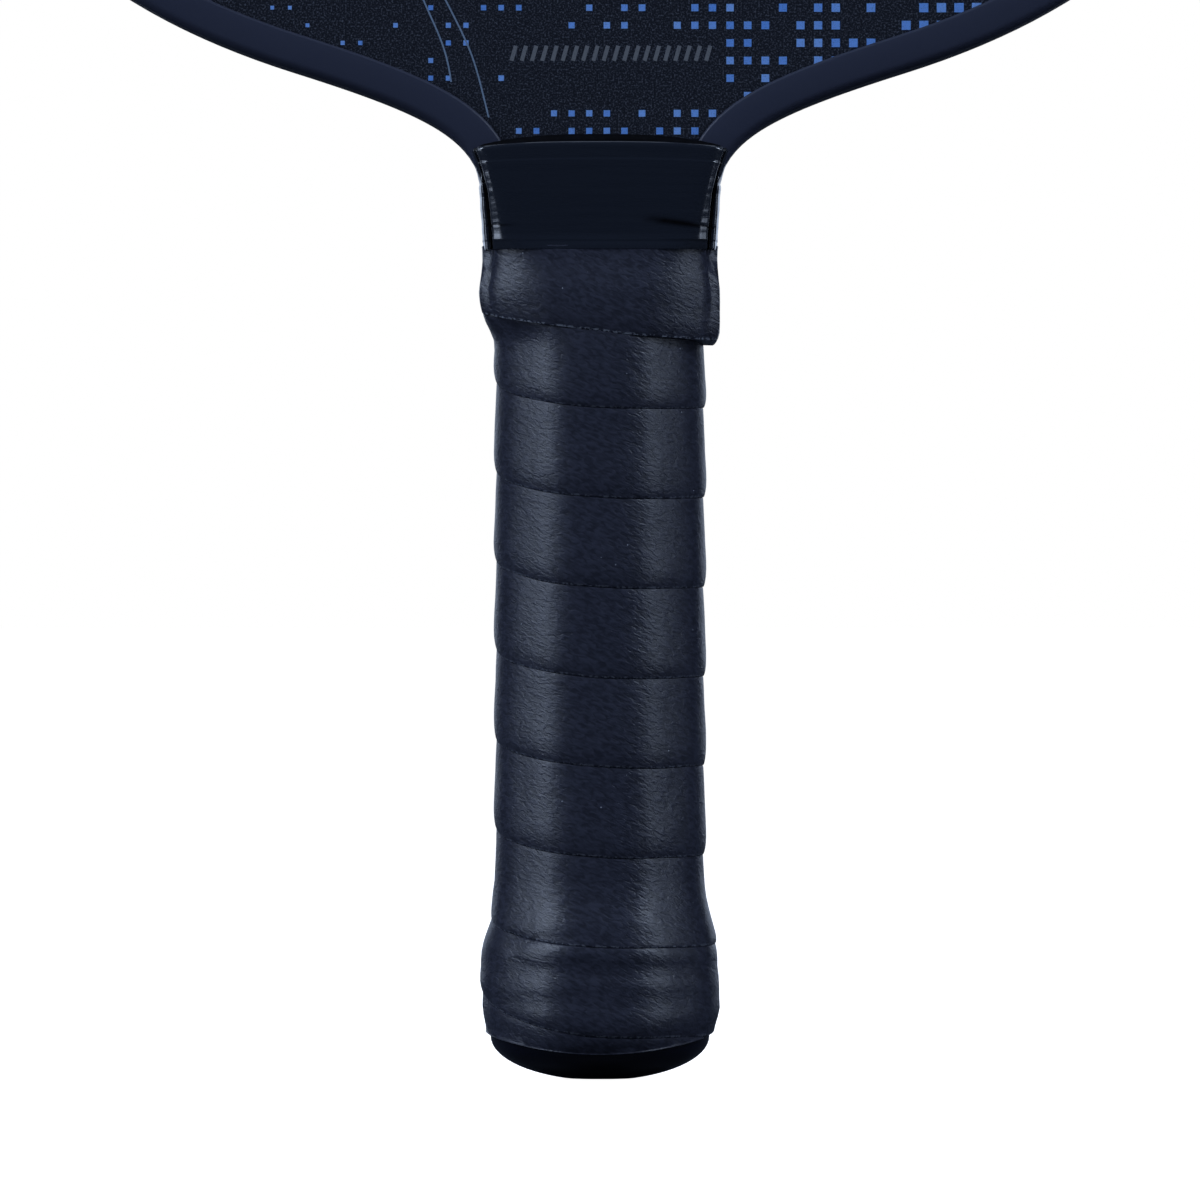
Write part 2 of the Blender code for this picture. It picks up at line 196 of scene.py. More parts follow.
# %% [markdown]
# ## Camera, floor and light
# The paddle stands upright and the camera looks straight at its front, level with the middle of the
# handle, with a long lens so that it looks almost flat. Black things show their shape by what they
# reflect, so two tall softboxes stand at the sides, where the handle's slanted facets mirror them, and
# the front stays calm. The floor is plain and pale.

# %% Camera
HANDLE_MIDDLE = 70.3 * MM
VIEW_HEIGHT = 176.47 * MM
CAMERA_DISTANCE = 1.9

camera_data = bpy.data.cameras.new("camera")
camera_data.sensor_width = 36.0
camera_data.lens = camera_data.sensor_width * CAMERA_DISTANCE / VIEW_HEIGHT
camera = placed("camera", camera_data)
camera.location = (0, -CAMERA_DISTANCE, HANDLE_MIDDLE)
camera.rotation_euler = (pi / 2, 0, 0)
bpy.context.scene.camera = camera
print("lens", round(camera_data.lens), "mm")

# %% Softboxes
HEAD_MIDDLE = Vector((0, 0, 0.2))
COOL = (0.66, 0.78, 1.0)


def softbox(name, place, size, power):
    """A cool rectangular light at a place, turned to the middle of the paddle."""
    light = bpy.data.lights.new(name, "AREA")
    light.shape = "RECTANGLE"
    light.size, light.size_y = size
    light.energy = power
    light.color = COOL
    lamp = placed(name, light)
    lamp.location = place
    lamp.rotation_euler = (HEAD_MIDDLE - Vector(place)).to_track_quat("-Z", "Y").to_euler()
    lamp.visible_camera = False


softbox("left_softbox", (-1.1, -0.42, 0.3), (0.75, 1.6), 7.0)
softbox("left_core", (-1.09, -0.42, 0.3), (0.12, 1.6), 3.4)
softbox("right_softbox", (1.1, -0.46, 0.3), (0.6, 1.6), 3.8)
softbox("right_core", (1.09, -0.46, 0.3), (0.12, 1.6), 2.0)
softbox("front_left_fill", (-1.7, -1.2, 1.6), (0.7, 0.7), 16)
softbox("front_right_fill", (1.7, -1.2, 1.6), (0.7, 0.7), 16)
softbox("back_left_softbox", (-0.5, 1.4, 0.5), (0.6, 1.6), 2.5)
softbox("back_right_softbox", (0.5, 1.4, 0.5), (0.6, 1.6), 2.5)
softbox("top_softbox", (0, 0.1, 2.0), (1.6, 1.6), 8)
print("lights:", len(bpy.data.lights))

# %% Studio surroundings and floor
WHITE = (1, 1, 1, 1)


def show(tree, seen, met, output):
    """One look for the camera, and another for the rays that light and reflect."""
    looks = node(tree, "ShaderNodeLightPath").outputs["Is Camera Ray"]
    both = result(tree, "ShaderNodeMixShader", {0: looks, 1: met, 2: seen})
    node(tree, output, {"Surface": both})


world = bpy.data.worlds.new("studio")
bpy.context.scene.world = world
world.use_nodes = True
sky = world.node_tree
sky.nodes.clear()
direction = node(sky, "ShaderNodeTexCoord").outputs["Generated"]
depth = node(sky, "ShaderNodeSeparateXYZ", {0: direction}).outputs["Y"]
glow = ranged(sky, depth, 0.82, 0.985, 0.012, 0.5)
seen = result(sky, "ShaderNodeBackground", {"Color": WHITE, "Strength": 1.0})
felt = result(sky, "ShaderNodeBackground", {"Color": (*COOL, 1), "Strength": glow})
show(sky, seen, felt, "ShaderNodeOutputWorld")
view = bpy.context.scene.view_settings
view.view_transform, view.look = "Standard", "None"

floor_paint = bpy.data.materials.new("pale_floor")
floor_paint.use_nodes = True
tree = floor_paint.node_tree
tree.nodes.clear()
matt = {"Base Color": (0.9, 0.9, 0.9, 1), "Roughness": 0.9}
glowing = {**matt, "Emission Color": WHITE, "Emission Strength": 1.0}
pale = result(tree, "ShaderNodeBsdfPrincipled", glowing)
dim = result(tree, "ShaderNodeBsdfDiffuse", {"Color": (0.05, 0.055, 0.065, 1)})
show(tree, pale, dim, "ShaderNodeOutputMaterial")

bpy.ops.mesh.primitive_plane_add(size=60, location=(0, 0, -0.2 * MM))
floor = bpy.context.object
floor.name = "floor"
floor.data.materials.append(floor_paint)
floor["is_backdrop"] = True

# %% [markdown]
# ## Surface effects shared by the finishes
# Grit, leather wrinkles and stray dust turn up on several materials, so each is a node group with named
# inputs. A group only puts out heights and masks. The shader itself stays in each material.

# %% Grit and dust
grit, given, out = new_tree(
    "grit",
    "Shader",
    {"Place": ("Vector", None), "Grain": ("Float", 4000.0), "Amount": ("Float", 0.6)},
    {"Height": "Float", "Flecks": "Float"},
)
grains = {"Vector": given[0], "Scale": given[1], "Detail": 3.0, "Roughness": 0.6}
coarse = result(grit, "ShaderNodeTexNoise", grains)
grit.links.new(coarse, out[0])
grit.links.new(ranged(grit, coarse, given[2], 0.82), out[1])

SPECK_SIZE = 0.045
dust, given, out = new_tree(
    "stray_dust",
    "Shader",
    {"Place": ("Vector", None), "Spacing": ("Float", 260.0), "Share": ("Float", 0.06)},
    {"Mask": "Float"},
)
cells = node(dust, "ShaderNodeTexVoronoi", {"Vector": given[0], "Scale": given[1]})
speck = maths(dust, "LESS_THAN", cells.outputs["Distance"], SPECK_SIZE)
chance = result(dust, "ShaderNodeSeparateColor", {0: cells.outputs["Color"]})
dust.links.new(maths(dust, "MULTIPLY", speck, maths(dust, "LESS_THAN", chance, given[2])), out[0])

# %% Leather wrinkles
wrinkles, given, out = new_tree(
    "leather_wrinkles",
    "Shader",
    {"Place": ("Vector", None), "Fold": ("Float", 420.0), "Pore": ("Float", 2600.0)},
    {"Height": "Float", "Worn": "Float"},
)
FLATTEN = (0.6, 0.6, 1.5)
SLOPE = (0.0, radians(-24), 0.0)
PORE_SHARE = 0.04
sloping = result(wrinkles, "ShaderNodeMapping", {"Vector": given[0], "Rotation": SLOPE})
lying = result(wrinkles, "ShaderNodeMapping", {"Vector": sloping, "Scale": FLATTEN})
folds = node(
    wrinkles,
    "ShaderNodeTexNoise",
    {"Vector": lying, "Scale": given[1], "Detail": 2.0, "Roughness": 0.45, "Distortion": 0.7},
)
pores = node(wrinkles, "ShaderNodeTexVoronoi", {"Vector": given[0], "Scale": given[2]})
shallow = maths(wrinkles, "MULTIPLY", pores.outputs["Distance"], PORE_SHARE)
height = maths(wrinkles, "ADD", folds.outputs[0], shallow)
patches = result(wrinkles, "ShaderNodeTexNoise", {"Vector": given[0], "Scale": 60.0, "Detail": 4.0})
wrinkles.links.new(height, out[0])
wrinkles.links.new(patches, out[1])

# %% [markdown]
# ## The finishes
# Each finish is named for what it is on the paddle. Nearly everything is black with a blue cast, so the
# finishes differ by gloss and by their fine relief more than by colour.

# %% A helper for finishes
def finish(name, color, roughness, metallic=0.0, specular=0.5):
    """A new material with a Principled shader, returned with its tree, its shader and the place socket."""
    made = bpy.data.materials.new(name)
    made.use_nodes = True
    tree = made.node_tree
    shader = tree.nodes["Principled BSDF"]
    looks = {"Base Color": (*color, 1), "Roughness": roughness, "Metallic": metallic}
    for key, value in {**looks, "Specular IOR Level": specular}.items():
        shader.inputs[key].default_value = value
    place = node(tree, "ShaderNodeTexCoord").outputs["Object"]
    return made, tree, shader, place


def use_group(tree, group, values):
    return node(tree, "ShaderNodeGroup", values, node_tree=group).outputs


def tint(tree, factor, low, high):
    """A colour that goes from low to high with the factor. Each end is a colour or a socket."""
    mixed = node(tree, "ShaderNodeMix", {0: factor}, data_type="RGBA")
    for index, end in ((6, low), (7, high)):
        if isinstance(end, bpy.types.NodeSocket):
            tree.links.new(end, mixed.inputs[index])
        else:
            mixed.inputs[index].default_value = (*end, 1)
    return mixed.outputs[2]


def paint(tree, shader, color, roughness=None):
    """Links the colour to the shader, and the roughness where there is one."""
    tree.links.new(color, shader.inputs["Base Color"])
    if roughness is not None:
        tree.links.new(roughness, shader.inputs["Roughness"])


def bump(tree, shader, relief, depth, strength=1.0):
    """Relief on the shader's normal, depth metres tall."""
    made = node(tree, "ShaderNodeBump", {"Height": relief, "Distance": depth, "Strength": strength})
    tree.links.new(made.outputs[0], shader.inputs["Normal"])


def span(tree, factor, low, high):
    """The factor stretched to run from low to high."""
    return ranged(tree, factor, 0.0, 1.0, low, high)


# %% Printed face
DUST = (0.35, 0.38, 0.45)
FACE_DARK = (0.0042, 0.0062, 0.0130)
FACE_FLECK = (0.15, 0.17, 0.22)

face_print, tree, shader, place = finish("gritty_face_print", FACE_DARK, 0.55, specular=0.25)
texture = use_group(tree, grit, {"Place": place, "Grain": 3800.0, "Amount": 0.50})
paint(tree, shader, tint(tree, texture["Flecks"], FACE_DARK, FACE_FLECK))
bump(tree, shader, texture["Height"], 0.09 * MM, 0.7)

# %% Ink of the printed squares
INK_LOW = (0.13, 0.33, 0.86)
INK_HIGH = (0.24, 0.46, 0.95)

square_ink, tree, shader, place = finish("blue_square_ink", INK_LOW, 0.5, specular=0.3)
tone = node(tree, "ShaderNodeAttribute", attribute_name="ink_tone").outputs["Fac"]
texture = use_group(tree, grit, {"Place": place, "Grain": 4200.0, "Amount": 0.5})
worn = maths(tree, "MULTIPLY", texture["Flecks"], 0.6)
paint(tree, shader, tint(tree, worn, tint(tree, tone, INK_LOW, INK_HIGH), FACE_DARK))
bump(tree, shader, texture["Height"], 0.09 * MM, 0.5)


def plain_ink(name, color, worn):
    """Flat ink, worn where the sheet's grit stands up."""
    made, tree, shader, place = finish(name, color, 0.5, specular=0.3)
    texture = use_group(tree, grit, {"Place": place, "Grain": 4200.0, "Amount": 0.5})
    paint(tree, shader, tint(tree, texture["Flecks"], color, worn))
    return made


line_ink = plain_ink("pale_line_ink", (0.20, 0.28, 0.40), (0.06, 0.09, 0.14))
bar_ink = plain_ink("grey_bar_ink", (0.16, 0.17, 0.19), (0.07, 0.08, 0.09))

# %% Guard vinyl
GUARD_BLUE = (0.0305, 0.0362, 0.0630)

guard_vinyl, tree, shader, place = finish("satin_guard_vinyl", GUARD_BLUE, 0.42, specular=0.4)
texture = use_group(tree, grit, {"Place": place, "Grain": 2600.0, "Amount": 0.62})
specks = use_group(tree, dust, {"Place": place, "Spacing": 400.0, "Share": 0.10})
flecked = tint(tree, maths(tree, "MULTIPLY", texture["Flecks"], 0.3), GUARD_BLUE, (0.04, 0.05, 0.08))
paint(tree, shader, tint(tree, specks["Mask"], flecked, DUST), span(tree, texture["Height"], 0.36, 0.5))
bump(tree, shader, texture["Height"], 0.03 * MM, 0.5)

# %% Grip leatherette
GRIP_BLUE = (0.0165, 0.0188, 0.0310)
# Painted light: the lighter colour painted on the wrinkles' ridges.
GRIP_LIT_RIDGES = (0.0360, 0.0396, 0.0615)

grip_skin, tree, shader, place = finish("grip_leatherette", GRIP_BLUE, 0.5, specular=0.5)
leather = use_group(tree, wrinkles, {"Place": place, "Fold": 1400.0, "Pore": 4200.0})
specks = use_group(tree, dust, {"Place": place, "Spacing": 520.0, "Share": 0.22})
# Painted shade and light: the wrinkles' hollows are painted darker and their ridges lighter, following the
# wrinkle height.
wrinkle_shading = tint(tree, ranged(tree, leather["Height"], 0.38, 0.66), GRIP_BLUE, GRIP_LIT_RIDGES)
on_seam = node(tree, "ShaderNodeAttribute", attribute_name="seam_dust").outputs["Fac"]
crumbs = result(tree, "ShaderNodeTexNoise", {"Vector": place, "Scale": 2200.0, "Detail": 1.0})
settled = maths(tree, "MULTIPLY", on_seam, ranged(tree, crumbs, 0.47, 0.56))
dusty = tint(tree, maths(tree, "MAXIMUM", specks["Mask"], settled), wrinkle_shading, DUST)
paint(tree, shader, dusty, span(tree, leather["Worn"], 0.31, 0.45))
bump(tree, shader, leather["Height"], 0.105 * MM, 1.0)

# %% Finishing tape and butt cap
TAPE_BLACK = (0.0140, 0.0178, 0.0275)
# Painted shade: the near-black colour painted into the tape's side creases and folds, where shade falls.
CREASE_PAINTED_SHADE = (0.0005, 0.0005, 0.001)

tape_gloss, tree, shader, place = finish("stretched_gloss_tape", TAPE_BLACK, 0.2, specular=0.9)
RIPPLE_FLATTEN = (0.10, 0.10, 1.0)
ripple_place = result(tree, "ShaderNodeMapping", {"Vector": place, "Scale": RIPPLE_FLATTEN})
ripple_values = {"Vector": ripple_place, "Scale": 1500.0, "Detail": 3.0, "Distortion": 0.4}
ripples = result(tree, "ShaderNodeTexNoise", ripple_values)
specks = use_group(tree, dust, {"Place": place, "Spacing": 420.0, "Share": 0.10})
dusty = tint(tree, specks["Mask"], TAPE_BLACK, DUST)
# Painted shade: the crease attribute paints the creases and folds this near-black.
painted_crease_shade = node(tree, "ShaderNodeAttribute", attribute_name="crease").outputs["Fac"]
paint(tree, shader, tint(tree, painted_crease_shade, dusty, CREASE_PAINTED_SHADE), span(tree, ripples, 0.10, 0.24))
bump(tree, shader, ripples, 0.05 * MM, 0.5)

CAP_BLACK = (0.0060, 0.0072, 0.0150)

cap_gloss, tree, shader, place = finish("cap_gloss_plastic", CAP_BLACK, 0.1, specular=0.5)
scuffs = use_group(tree, grit, {"Place": place, "Grain": 900.0, "Amount": 0.6})
scuffed = tint(tree, maths(tree, "MULTIPLY", scuffs["Flecks"], 0.25), CAP_BLACK, (0.03, 0.03, 0.04))
paint(tree, shader, scuffed, span(tree, scuffs["Height"], 0.06, 0.22))
bump(tree, shader, scuffs["Height"], 0.01 * MM, 0.4)

# %% Finishes of the pieces inside
def inner_finish(name, low, high, roughness, grain, metallic=0.0, relief=0.05, specular=0.5):
    """A plain moulded, cured or drawn finish: two near colours broken up by grit."""
    made, tree, shader, place = finish(name, low, roughness, metallic, specular)
    texture = use_group(tree, grit, {"Place": place, "Grain": grain, "Amount": 0.45})
    uneven = span(tree, texture["Height"], roughness - 0.08, roughness + 0.08)
    paint(tree, shader, tint(tree, texture["Flecks"], low, high), uneven)
    bump(tree, shader, texture["Height"], relief * MM, 0.6)
    return made


core_polymer = inner_finish("core_polymer", (0.60, 0.62, 0.60), (0.72, 0.73, 0.70), 0.55, 500)
cured_film = inner_finish("cured_bond_film", (0.42, 0.34, 0.18), (0.52, 0.43, 0.25), 0.40, 700)
# Partly painted shade: the shells' own black, made nearly lightless and dull so that their rounded top edge
# above the tape stays black like a shadowed gap.
SHELL_BLACK_AND_GAP_SHADE, SHELL_FLECK = (0.0010, 0.0010, 0.0020), (0.004, 0.004, 0.006)
moulded_shell = inner_finish("moulded_shell", SHELL_BLACK_AND_GAP_SHADE, SHELL_FLECK, 0.75, 1200, specular=0.08)
foam_pad = inner_finish("foam_bond_pad", (0.55, 0.55, 0.52), (0.72, 0.72, 0.68), 0.9, 1500, relief=0.15)
staple_steel = inner_finish("staple_wire", (0.55, 0.55, 0.57), (0.66, 0.66, 0.68), 0.3, 1800, metallic=1.0)

# %% [markdown]
# ## The outline of the head
# The guard's outer edge sets the paddle's shape: a straight neck, a tight sweep out to a flat flank, a
# large lower corner, a straight side and a rounded top. Eight Bezier stretches draw each half of it, and
# the same knots serve the guard's path and the width of the neck under the tape.

# %% Outline knots and the neck's width
# x and z in millimetres, heading in degrees, reach before and after the knot
EDGE_KNOTS = [
    (16.0, 112.0, 90.0, 0.0, 2.0),
    (16.1, 119.0, 90.0, 2.0, 2.0),
    (17.0, 125.0, 90.0, 2.0, 1.0),
    (17.2, 128.0, 90.0, 1.0, 9.5),
    (45.0, 148.0, 17.5, 23.0, 32.0),
    (100.0, 218.0, 90.0, 42.0, 40.0),
    (100.0, 335.0, 90.0, 40.0, 32.0),
    (55.0, 398.0, 169.5, 26.0, 20.0),
    (0.0, 403.0, 180.0, 20.0, 20.0),
]


def knot_handles(x, z, heading, before, after):
    """A knot's point and its two handles, in metres, on the upright plane drawn as x and y."""
    way = Vector((cos(radians(heading)), sin(radians(heading)), 0)) * MM
    point = Vector((x, z, 0)) * MM
    return point, point - way * before, point + way * after


def bezier_path(name, knots, resolution):
    """An open Bezier curve through knots, each given as its point and its two handles."""
    curve = bpy.data.curves.new(name, "CURVE")
    curve.dimensions = "3D"
    curve.resolution_u = resolution
    spline = curve.splines.new("BEZIER")
    spline.bezier_points.add(len(knots) - 1)
    for knot, (point, before, after) in zip(spline.bezier_points, knots):
        knot.handle_left_type = knot.handle_right_type = "FREE"
        knot.co, knot.handle_left, knot.handle_right = point, before, after
    return bpy.data.objects.new(name, curve)


def outline_curve(name):
    """The whole outline, from the right neck over the top to the left neck."""
    right = [knot_handles(*knot) for knot in EDGE_KNOTS]
    flip = Vector((-1, 1, 1))
    left = [(point * flip, after * flip, before * flip) for point, before, after in reversed(right[:-1])]
    return bezier_path(name, right + left, 32)


neck_points = []
for start, end in zip(EDGE_KNOTS[:4], EDGE_KNOTS[1:5]):
    first, _, leaving = knot_handles(*start)
    last, arriving, _ = knot_handles(*end)
    neck_points += interpolate_bezier(first, leaving, arriving, last, 24)
neck_z = np.array([p.y for p in neck_points])
neck_x = np.array([p.x for p in neck_points])
print("neck is", round(2000 * float(np.interp(0.13, neck_z, neck_x)), 1), "mm wide under the tape")

# %% [markdown]
# ## Edge guard
# The guard is an extruded vinyl channel, bent round the panel's edge and glued. It could be cut from an
# extruded outline, but its round outer wall and thin inner lips follow the edge all the way, so one
# Geometry Nodes tree sweeps a drawn section along the outline. The printed hairlines use it too.

# %% A tree that sweeps a section along a path
sweep, given, out = new_tree("sweep_section", "Geometry", {
    "Path": ("Geometry", None),
    "Section": ("Object", None),
    "Step": ("Float", 1.0 * MM),
    "Finish": ("Material", None),
}, {"Geometry": "Geometry"})
section = node(sweep, "GeometryNodeObjectInfo", {"Object": given["Section"]}).outputs["Geometry"]
path = {"Curve": given["Path"], "Length": given["Step"]}
stepped = result(sweep, "GeometryNodeResampleCurve", path, mode="LENGTH")
level = node(sweep, "GeometryNodeSetCurveNormal", {"Curve": stepped}, mode="Z_UP")
rails = {"Curve": level.outputs[0], "Profile Curve": section, "Fill Caps": True}
swept = node(sweep, "GeometryNodeCurveToMesh", rails)
stood = node(sweep, "GeometryNodeTransform", {"Geometry": swept.outputs[0], "Rotation": (pi / 2, 0, 0)})
hand_out(sweep, stood.outputs[0], given["Finish"], out)

# %% The guard's section and the guard
GUARD_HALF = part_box("edge_guard")[1].y
FLANGE_REACH = 5.2 * MM
FLANGE_LIP = 0.45 * MM
WEB_THICK = 1.2 * MM
OUTER_ROUND = 1.3 * MM
GUARD_INSIDE = 7.2 * MM
SWEPT_SHARP, SWEPT_MERGE = 35, 0.001 * MM


def arc(centre, radius, start, end, steps):
    """Points on a round corner, from one angle to another in degrees."""
    angles = np.radians(np.linspace(start, end, steps))
    return [(centre[0] + radius * cos(a), centre[1] + radius * sin(a)) for a in angles]


def guard_section():
    """Half the channel from its lip to its web, then mirrored: outwards is -x, across the edge is y."""
    flat_end = FLANGE_REACH - FLANGE_LIP
    top = GUARD_HALF
    half = [(FLANGE_REACH, GUARD_INSIDE)]
    half += arc((flat_end, top - FLANGE_LIP - 0.12 * MM), FLANGE_LIP, 0, 90, 5)
    half += [(flat_end - 1.4 * MM, top - 0.03 * MM), (OUTER_ROUND, top)]
    half += arc((OUTER_ROUND, top - OUTER_ROUND), OUTER_ROUND, 90, 180, 8)[1:]
    outer = half + [(x, -y) for x, y in reversed(half)]
    inner = [(WEB_THICK, -GUARD_INSIDE), (WEB_THICK, GUARD_INSIDE)]
    return outer + inner


def flat_loop(name, points):
    """A closed flat curve through points, used as a section."""
    curve = bpy.data.curves.new(name, "CURVE")
    spline = curve.splines.new("POLY")
    spline.points.add(len(points) - 1)
    for point, (x, y) in zip(spline.points, points):
        point.co = (x, y, 0, 1)
    spline.use_cyclic_u = True
    return placed(name, curve)


guard_loop = flat_loop("guard_section", [(-x, y) for x, y in guard_section()])
guard_values = {"Section": guard_loop, "Step": 1.2 * MM, "Finish": guard_vinyl}
guard_mesh = grown("edge_guard_path", sweep, guard_values, outline_curve("edge_guard_path"))
closed_up(guard_mesh, SWEPT_SHARP, SWEPT_MERGE)
bpy.data.objects.remove(guard_loop)
finished("fine_edge_guard", guard_mesh, guard_vinyl, "guard_vinyl", "edge_guard")
guard_box = [round(1000 * (max(v.co[a] for v in guard_mesh.vertices)), 1) for a in range(3)]
print("guard reaches", guard_box, "mm")

# %% [markdown]
# ## Printed squares
# Rows of small blue squares fade across the face, thick at the upper right and thin at the left. They
# could be painted by the face's material, but as a thin layer of ink laid on by Geometry Nodes their
# corners stay sharp from any distance. A grid of points is thinned by chance, each point takes a square,
# and a ray towards the sheet drops the points that miss it.

# %% A tree that lays ink squares on a sheet
squares, given, out = new_tree("ink_squares", "Geometry", {
    "Sheet": ("Object", None),
    "Pitch": ("Float", 2.58 * MM),
    "Middle": ("Vector", None),
    "Side": ("Float", -1.0),
    "Smallest": ("Float", 0.55 * MM),
    "Largest": ("Float", 1.6 * MM),
    "Ink depth": ("Float", 0.03 * MM),
    "Seed": ("Int", 4),
    "Ink": ("Material", None),
}, {"Geometry": "Geometry"})
COLUMNS, ROWS = 79, 107
work = partial(maths, squares)
across = work("MULTIPLY", given["Pitch"], COLUMNS - 1)
upwards = work("MULTIPLY", given["Pitch"], ROWS - 1)
grid = result(
    squares,
    "GeometryNodeMeshGrid",
    {"Size X": across, "Size Y": upwards, "Vertices X": COLUMNS, "Vertices Y": ROWS},
)
dots = result(squares, "GeometryNodeMeshToPoints", {"Mesh": grid})
upright = {"Geometry": dots, "Rotation": (pi / 2, 0, 0), "Translation": given["Middle"]}
stood = result(squares, "GeometryNodeTransform", upright)

spot = result(squares, "GeometryNodeInputPosition")
spots = node(squares, "ShaderNodeSeparateXYZ", {0: spot}).outputs
inwards = work("MULTIPLY", given["Side"], -1.0)
ahead = result(squares, "ShaderNodeCombineXYZ", {1: inwards})
start = result(squares, "ShaderNodeVectorMath", {0: spot, 1: ahead}, operation="SUBTRACT")
sheet_shape = node(squares, "GeometryNodeObjectInfo", {"Object": given["Sheet"]}).outputs["Geometry"]
on_sheet = node(
    squares,
    "GeometryNodeRaycast",
    {"Target Geometry": sheet_shape, "Source Position": start, "Ray Direction": ahead, "Ray Length": 2.0},
).outputs["Is Hit"]

# %% Where the squares thin out
DRIFT_FROM, DRIFT_TO = 14 * MM, 95 * MM
FEWEST, MOST = 0.17, 0.68
BAND_LOW, BAND_HIGH, BAND_HALF = 143.6 * MM, 154.4 * MM, 15.5 * MM
BAND_MIDDLE = 1.6 * MM
MORE_BELOW = 0.16

facing_x = work("MULTIPLY", spots["X"], inwards)
drift = work("ADD", facing_x, work("MULTIPLY", spots["Z"], 0.45))
likely = ranged(squares, drift, DRIFT_FROM, DRIFT_TO, FEWEST, MOST)
blotch = result(squares, "ShaderNodeTexNoise", {"Vector": spot, "Scale": 60.0, "Detail": 1.0})
uneven = work("MULTIPLY", likely, work("MULTIPLY", blotch, 2.0))
lowest_rows = work("MULTIPLY", work("LESS_THAN", spots["Z"], BAND_LOW), MORE_BELOW)
uneven = work("ADD", uneven, lowest_rows)
over, under = work("GREATER_THAN", spots["Z"], BAND_LOW), work("LESS_THAN", spots["Z"], BAND_HIGH)
off_middle = work("ABSOLUTE", work("SUBTRACT", facing_x, BAND_MIDDLE))
near_middle = work("LESS_THAN", off_middle, BAND_HALF)
quiet = work("MULTIPLY", work("MULTIPLY", over, under), near_middle)
allowed = work("MULTIPLY", uneven, work("SUBTRACT", 1.0, quiet))
luck = node(squares, "FunctionNodeRandomValue", {"Seed": given["Seed"]}, data_type="FLOAT").outputs[1]
printed = work("LESS_THAN", luck, allowed)
kept = result(squares, "FunctionNodeBooleanMath", {0: on_sheet, 1: printed}, operation="AND")

# %% The squares themselves
unit = result(squares, "GeometryNodeMeshCube", {"Size": (1.0, 1.0, 1.0)})
widen = ranged(squares, facing_x, -45 * MM, 60 * MM, given["Smallest"], given["Largest"])
size = result(squares, "ShaderNodeCombineXYZ", {0: widen, 1: given["Ink depth"], 2: widen})
laid = result(
    squares,
    "GeometryNodeInstanceOnPoints",
    {"Points": stood, "Selection": kept, "Instance": unit, "Scale": size},
)
shade = node(squares, "FunctionNodeRandomValue", {"Seed": 11}, data_type="FLOAT").outputs[1]
toned = result(
    squares,
    "GeometryNodeStoreNamedAttribute",
    {"Geometry": laid, "Name": "ink_tone", "Value": shade},
    data_type="FLOAT",
    domain="INSTANCE",
)
hand_out(squares, toned, given["Ink"], out)

# %% Ink on both faces
SHEET_FACE = -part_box("front_face_sheet")[0].y
SQUARE_PITCH = 2.58 * MM
INK_DEPTH = 0.03 * MM
PRINT_MIDDLE = (1.0 * MM, 270.6 * MM)
FACES = (("front", -1.0), ("back", 1.0))
for side, sign, seed in (("front", -1.0, 4), ("back", 1.0, 9)):
    ink_y = sign * (SHEET_FACE + 0.3 * INK_DEPTH)
    values = {
        "Sheet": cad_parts[f"{side}_face_sheet"],
        "Pitch": SQUARE_PITCH,
        "Middle": (-sign * PRINT_MIDDLE[0], ink_y, PRINT_MIDDLE[1]),
        "Side": sign,
        "Smallest": 0.55 * MM,
        "Largest": 1.45 * MM,
        "Ink depth": INK_DEPTH,
        "Seed": seed,
        "Ink": square_ink,
    }
    mesh = grown(f"{side}_ink", squares, values)
    finished(f"{side}_printed_squares", mesh, square_ink, "printed_face")

# %% [markdown]
# ## Hairlines and a row of bars
# Two fine pale lines sweep up the left of the face, and a row of short slanted grey bars sits above the
# throat. Both are plain printed decoration. The lines are a flat section swept along a gentle curve.

# %% Two hairlines on each face
LINE_WIDTH = 0.24 * MM
# knots with the same five values as the outline's
HAIRLINES = [
    [(-16.3, 141.0, 104, 0, 8), (-21.5, 156.0, 117, 7, 40),
     (-62.0, 262.0, 92, 45, 45), (-30.0, 396.0, 60, 50, 0)],
    [(-21.8, 146.2, 98, 0, 6), (-26.4, 159.5, 112, 6, 38),
     (-71.0, 258.0, 90, 45, 45), (-44.0, 393.0, 62, 50, 0)],
]


def line_path(name, knots, flip):
    mirror = Vector((flip, 1, 1))
    return bezier_path(name, [[place * mirror for place in knot_handles(*knot)] for knot in knots], 40)


half, deep = LINE_WIDTH / 2, INK_DEPTH / 2
line_loop = flat_loop("line_section", [(-half, -deep), (half, -deep), (half, deep), (-half, deep)])
for side, sign in FACES:
    for index, knots in enumerate(HAIRLINES, 1):
        name = f"{side}_hairline_{index}"
        values = {"Section": line_loop, "Step": 1.0 * MM, "Finish": line_ink}
        mesh = grown(name, sweep, values, line_path(name, knots, -sign))
        mesh.transform(Matrix.Translation((0, sign * (SHEET_FACE + 0.35 * INK_DEPTH), 0)))
        finished(name, closed_up(mesh, SWEPT_SHARP, SWEPT_MERGE), line_ink, "printed_face")
bpy.data.objects.remove(line_loop)

# %% A row of slanted bars
bars, given, out = new_tree("bar_row", "Geometry", {
    "Count": ("Int", 20),
    "First": ("Vector", None),
    "Step": ("Vector", None),
    "Bar": ("Vector", None),
    "Slant": ("Vector", None),
    "Ink": ("Material", None),
}, {"Geometry": "Geometry"})
places = {"Count": given["Count"], "Start Location": given["First"], "Offset": given["Step"]}
row = result(bars, "GeometryNodeMeshLine", places)
spots = result(bars, "GeometryNodeMeshToPoints", {"Mesh": row})
bar = result(bars, "GeometryNodeMeshCube", {"Size": given["Bar"]})
copies = {"Points": spots, "Instance": bar, "Rotation": given["Slant"]}
laid = result(bars, "GeometryNodeInstanceOnPoints", copies)
hand_out(bars, laid, given["Ink"], out)

